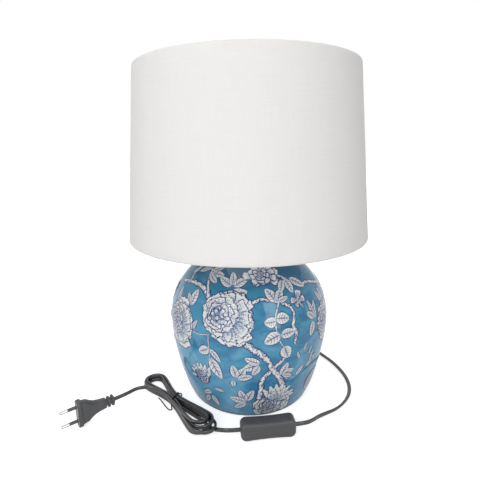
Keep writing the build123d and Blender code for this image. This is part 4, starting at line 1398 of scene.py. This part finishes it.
    def branches(self) -> None:
        """Trunks, arching branches and thin stems."""
        for spots, start, end, rough in (
                ([(-72, 160.5), (-55, 165), (-40, 163), (-30, 154), (-24.5, 147)],
                 5.5, 10.5, 0.34),
                ([(-33, 157), (-37, 166), (-40, 173), (-44.8, 184)], 6.2, 4.2, 0.3),
                ([(-60, 164), (-63, 172), (-62, 181)], 4.0, 3.0, 0.25),
                ([(27, 178), (34.5, 172), (45.7, 164), (57, 163), (72, 156), (84, 150)],
                 5.0, 6.0, 0.32),
                ([(1, 154), (8, 157), (17, 155), (27.5, 148), (30.5, 138), (28.6, 126),
                  (30.5, 118), (29, 104)], 5.0, 6.6, 0.4),
                ([(20.5, 152), (16.8, 140), (16.2, 127), (18.2, 112), (21.5, 102)],
                 3.0, 2.2, 0.05),
                ([(-9, 119), (-3.5, 111), (1, 105), (5, 99), (10, 90), (14, 76), (17, 68),
                  (22, 54), (25, 40)], 9.0, 8.6, 0.3),
                ([(23, 92), (19, 84), (12.5, 73), (7.6, 64), (6.6, 48), (5.4, 30), (3, 22)],
                 5.4, 9.4, 0.3),
                ([(-42, 116), (-36, 114.5), (-27.5, 117.5)], 1.8, 1.8, 0.05),
                ([(-28, 117), (-27.6, 102), (-27.2, 84)], 2.0, 1.6, 0.05),
                ([(-13, 61), (-15, 52), (-12, 44), (-8, 38)], 1.2, 1.0, 0.05),
                ([(24, 58), (34, 58), (44, 66), (52, 76)], 1.4, 1.0, 0.05)):
            self.branch(spots, start, end, rough)

    def foliage(self) -> None:
        """Leaves on the stems and branches."""
        for spot, direction, length, width in (
                ((17.0, 134.5), -92, 15, 14), ((16.8, 137), 98, 17, 15.5),
                ((19.2, 118), 86, 19, 14), ((18.8, 119), -112, 21, 17),
                ((21.5, 104), 160, 17, 17),
                ((18.4, 153.5), -28, 19, 14), ((20, 154), 34, 17, 12), ((20.5, 154), 78, 14, 9),
                ((49, 124), 16, 22, 10), ((49, 125), -14, 24, 9), ((48, 126), -50, 14, 11),
                ((47, 122), -155, 18, 12), ((60, 150), 150, 20, 10), ((66, 152), 168, 24, 9),
                ((-16, 169), -56, 19, 13), ((-15, 170), -8, 18, 11), ((-13.5, 169), 54, 19, 13),
                ((-15, 164), 88, 19, 13),
                ((-42, 180), 60, 16, 10), ((-41, 178), 92, 19, 12), ((-40, 176), 122, 16, 10),
                ((-58, 176), 60, 18, 9), ((-66, 172), 20, 16, 9),
                ((-46.8, 143), 8, 21, 14), ((-49, 146), -40, 12, 9), ((-65, 138), -6, 20, 10),
                ((-27.6, 100), -118, 17, 14), ((-27, 100), 140, 20, 9.5), ((-27, 88), 156, 30, 16),
                ((5.5, 86), -66, 19, 12), ((5, 84), -108, 20, 14), ((5, 83), -150, 15, 11),
                ((-10, 66), -12, 18, 12), ((-9.5, 66), 34, 18, 13), ((-9, 65), 78, 18, 11),
                ((-20, 41), -80, 12, 8), ((-4, 30), -22, 19, 12), ((-3, 30), 24, 20, 12),
                ((-4, 29), -74, 20, 13), ((-4, 27), -126, 18, 11),
                ((-31, 36), -120, 14, 10), ((-31, 30), 160, 18, 10), ((-34, 27), -150, 16, 9),
                ((20, 66), 28, 18, 12), ((21, 65), 72, 17, 11), ((22, 64), 108, 13, 9),
                ((33, 58), 40, 15, 9), ((42, 64), 60, 15, 9), ((46, 68), 10, 17, 7),
                ((37, 90), 30, 11, 6), ((34, 82), -20, 11, 6), ((43, 82), 25, 11, 6),
                ((-41, 118), 28, 14, 8), ((-12.1, 61), 180, 9, 9), ((38, 172), 130, 24, 13),
                ((33, 173), 172, 20, 13), ((30, 172), -150, 17, 11)):
            self.leaf(spot, direction, length, width, self.chance.uniform(-0.8, 0.8))

    def flowers(self) -> None:
        """Peonies, the lotus and the butterfly, over the branches."""
        self.peony((-15, 139), 34, rings=5, squash=0.92)
        self.peony((-55, 117), 31, rings=5, squash=0.78)
        self.peony((13, 178), 12.5, rings=3, squash=1.9)
        self.peony((67, 112), 28, rings=5, squash=0.85)
        self.peony((17, 20), 18, rings=4, squash=1.5)
        self.lotus((18, 27), 28, 24, count=7, spread=125)
        self.lotus((-34, 54), 24, -28, count=7, spread=120)
        self.peony((-37, 56), 11, rings=3)
        self.peony((58, 33), 17, rings=4)
        self.butterfly((37, 149), 15, -28)
        self.blossom((50, 73), 5)

    def build(self) -> None:
        """Paint the front, repeat it at the back and fill the two sides."""
        for turned in (0.0, 180.0):
            self.turned = turned
            self.side()
        self.turned = 0.0
        for turned in (93.0, -87.0):
            self.branch([(turned, 30), (turned + 3, 60), (turned - 3, 90), (turned + 2, 128)],
                        6, 3.5)
            for height, way in ((58, -60), (72, 62), (92, -50), (104, 55), (124, -25), (128, 20)):
                self.leaf((turned, height), way, 17, 10)
            self.peony((turned, 28), 16, rings=4)
            self.blossom((turned + 1, 146), 9)
        for motif, sheet in self.sheets.items():
            sheet.finish(BrushFinish(motif).build())


# --------------------------------------------------------------------------- studio

@dataclass
class Studio:
    """White floor, white backdrop, the lights and the camera.

    Two tall softboxes and a top light show in the glaze. Two wide fills don't.
    """

    focal_pixels: float = 388.0
    frame_pixels: float = 480.0
    place: Point = (-0.0105, -0.496, 0.326)
    pitch: float = 13.68
    roll: float = -0.85
    sky: float = 0.36
    mirrored_sky: float = 0.7
    mirrored_floor: float = 0.3
    floor_glow: float = 0.62

    def camera(self) -> None:
        """Put the camera where the photograph was taken from."""
        lens = bpy.data.cameras.new("camera")
        lens.sensor_width = 36
        lens.lens = self.focal_pixels / self.frame_pixels * lens.sensor_width
        lens.clip_start, lens.clip_end = 0.01, 50
        camera = linked("camera", lens)
        aim = (Matrix.Rotation(math.radians(90 - self.pitch), 4, "X")
               @ Matrix.Rotation(math.radians(self.roll), 4, "Z"))
        camera.matrix_world = Matrix.Translation(self.place) @ aim
        bpy.context.scene.camera = camera

    def background(self, recipe: Recipe) -> Socket:
        """Strength of the background's own white: full for the camera, less in reflections."""
        path = recipe.node("ShaderNodeLightPath")
        other = recipe.most(path.outputs["Is Glossy Ray"], path.outputs["Is Transmission Ray"])
        return recipe.most(path.outputs["Is Camera Ray"], recipe.times(other, self.mirrored_floor))

    def floor(self) -> None:
        """A wide white floor that keeps the lamp's shadow."""
        shape = bmesh.new()
        bmesh.ops.create_grid(shape, x_segments=1, y_segments=1, size=6)
        made = Recipe("studio_floor", Roughness=0.9, Base_Color=(0.82, 0.82, 0.82))
        glow = made.node("ShaderNodeEmission")
        glow.inputs["Color"].default_value = (1, 1, 1, 1)
        x, y, _ = made.split(made.place())
        away = made.math("ADD", made.times(x, x), made.times(y, y))
        strength = made.times(self.background(made),
                              made.ramp(away, 0.12, 0.9, self.floor_glow, 1.0))
        made.feed(glow.inputs["Strength"], strength)
        both = made.node("ShaderNodeAddShader")
        made.feed(both.inputs[0], made.shader.outputs[0])
        made.feed(both.inputs[1], glow.outputs[0])
        made.feed(made.nodes["Material Output"].inputs[0], both.outputs[0])
        shown_mesh("studio_floor", shape, [made.material], smooth=False)

    def world(self) -> None:
        """Even light from all round, seen as white."""
        world = bpy.data.worlds.new("studio")
        world.use_nodes = True
        made = Graph(world.node_tree)
        back = made.nodes["Background"]
        back.inputs["Color"].default_value = (1, 1, 1, 1)
        path = made.node("ShaderNodeLightPath")
        seen = made.most(path.outputs["Is Camera Ray"], path.outputs["Is Transmission Ray"])
        share = made.most(seen, made.times(path.outputs["Is Glossy Ray"], self.mirrored_sky))
        power = made.node("ShaderNodeMapRange")
        made.feed(power.inputs["Value"], share)
        made.feed(power.inputs["To Min"], self.sky)
        made.feed(power.inputs["To Max"], 1.0)
        made.feed(back.inputs["Strength"], power.outputs[0])
        bpy.context.scene.world = world

    def lamp(self, name: str, place: Point, aim: Point, size: tuple[float, float],
             power: float, mirrored: bool = True) -> None:
        """A soft rectangular light.

        Args:
            name: Its name.
            place: Where it stands, in metres.
            aim: The point that it faces.
            size: Its width and height in metres.
            power: Its power in watts.
            mirrored: True if glossy pieces show it.
        """
        light = bpy.data.lights.new(name, "AREA")
        light.shape = "RECTANGLE"
        light.size, light.size_y = size
        light.energy = power
        holder = linked(name, light)
        away = Vector(place) - Vector(aim)
        holder.visible_glossy = mirrored
        holder.matrix_world = (Matrix.Translation(place)
                               @ away.to_track_quat("Z", "Y").to_matrix().to_4x4())

    def build(self) -> None:
        """Set up the camera, the floor and the lights."""
        self.camera()
        self.floor()
        self.world()
        self.lamp("softbox_left", (-0.86, -1.28, 0.66), (0, 0, 0.16), (0.5, 1.25), 5.4)
        self.lamp("softbox_right", (0.83, -1.3, 0.66), (0, 0, 0.16), (0.5, 1.25), 5.3)
        self.lamp("fill_front", (-0.85, -1.75, 1.5), (0, 0, 0.2), (1.5, 1.3), 15.0, False)
        self.lamp("softbox_top", (-0.3, 0.2, 1.7), (0, 0, 0.1), (1.4, 1.4), 6.0)
        self.lamp("fill_back", (0.7, 2.0, 1.2), (0, 0, 0.22), (1.6, 1.3), 15.0, False)
        bpy.context.scene.view_settings.view_transform = "Standard"
        LOG.info("studio: camera, floor and lights set")


# ----------------------------------------------------------------------------- main

def main() -> None:
    """Build the lamp's looks piece by piece."""
    logging.basicConfig(level=logging.INFO, format="%(name)s: %(message)s")
    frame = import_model()
    parts = PlainParts(frame)
    parts.dress()
    cord = FlatCord()
    WireTie(cord).build(parts.finish_for("tie_black"))
    fittings = Fittings()
    fittings.switch(parts.finish_for("switch_black"))
    fittings.plug(parts.finish_for("plug_black"))
    cord.build(parts.finish_for("cord_black"))
    Shade().build(parts.finish_for("shade_cloth"))
    JarPainting(JarSkin(frame["nodes"]["jar_body"])).build()
    Studio().build()


if __name__ == "__main__":
    main()
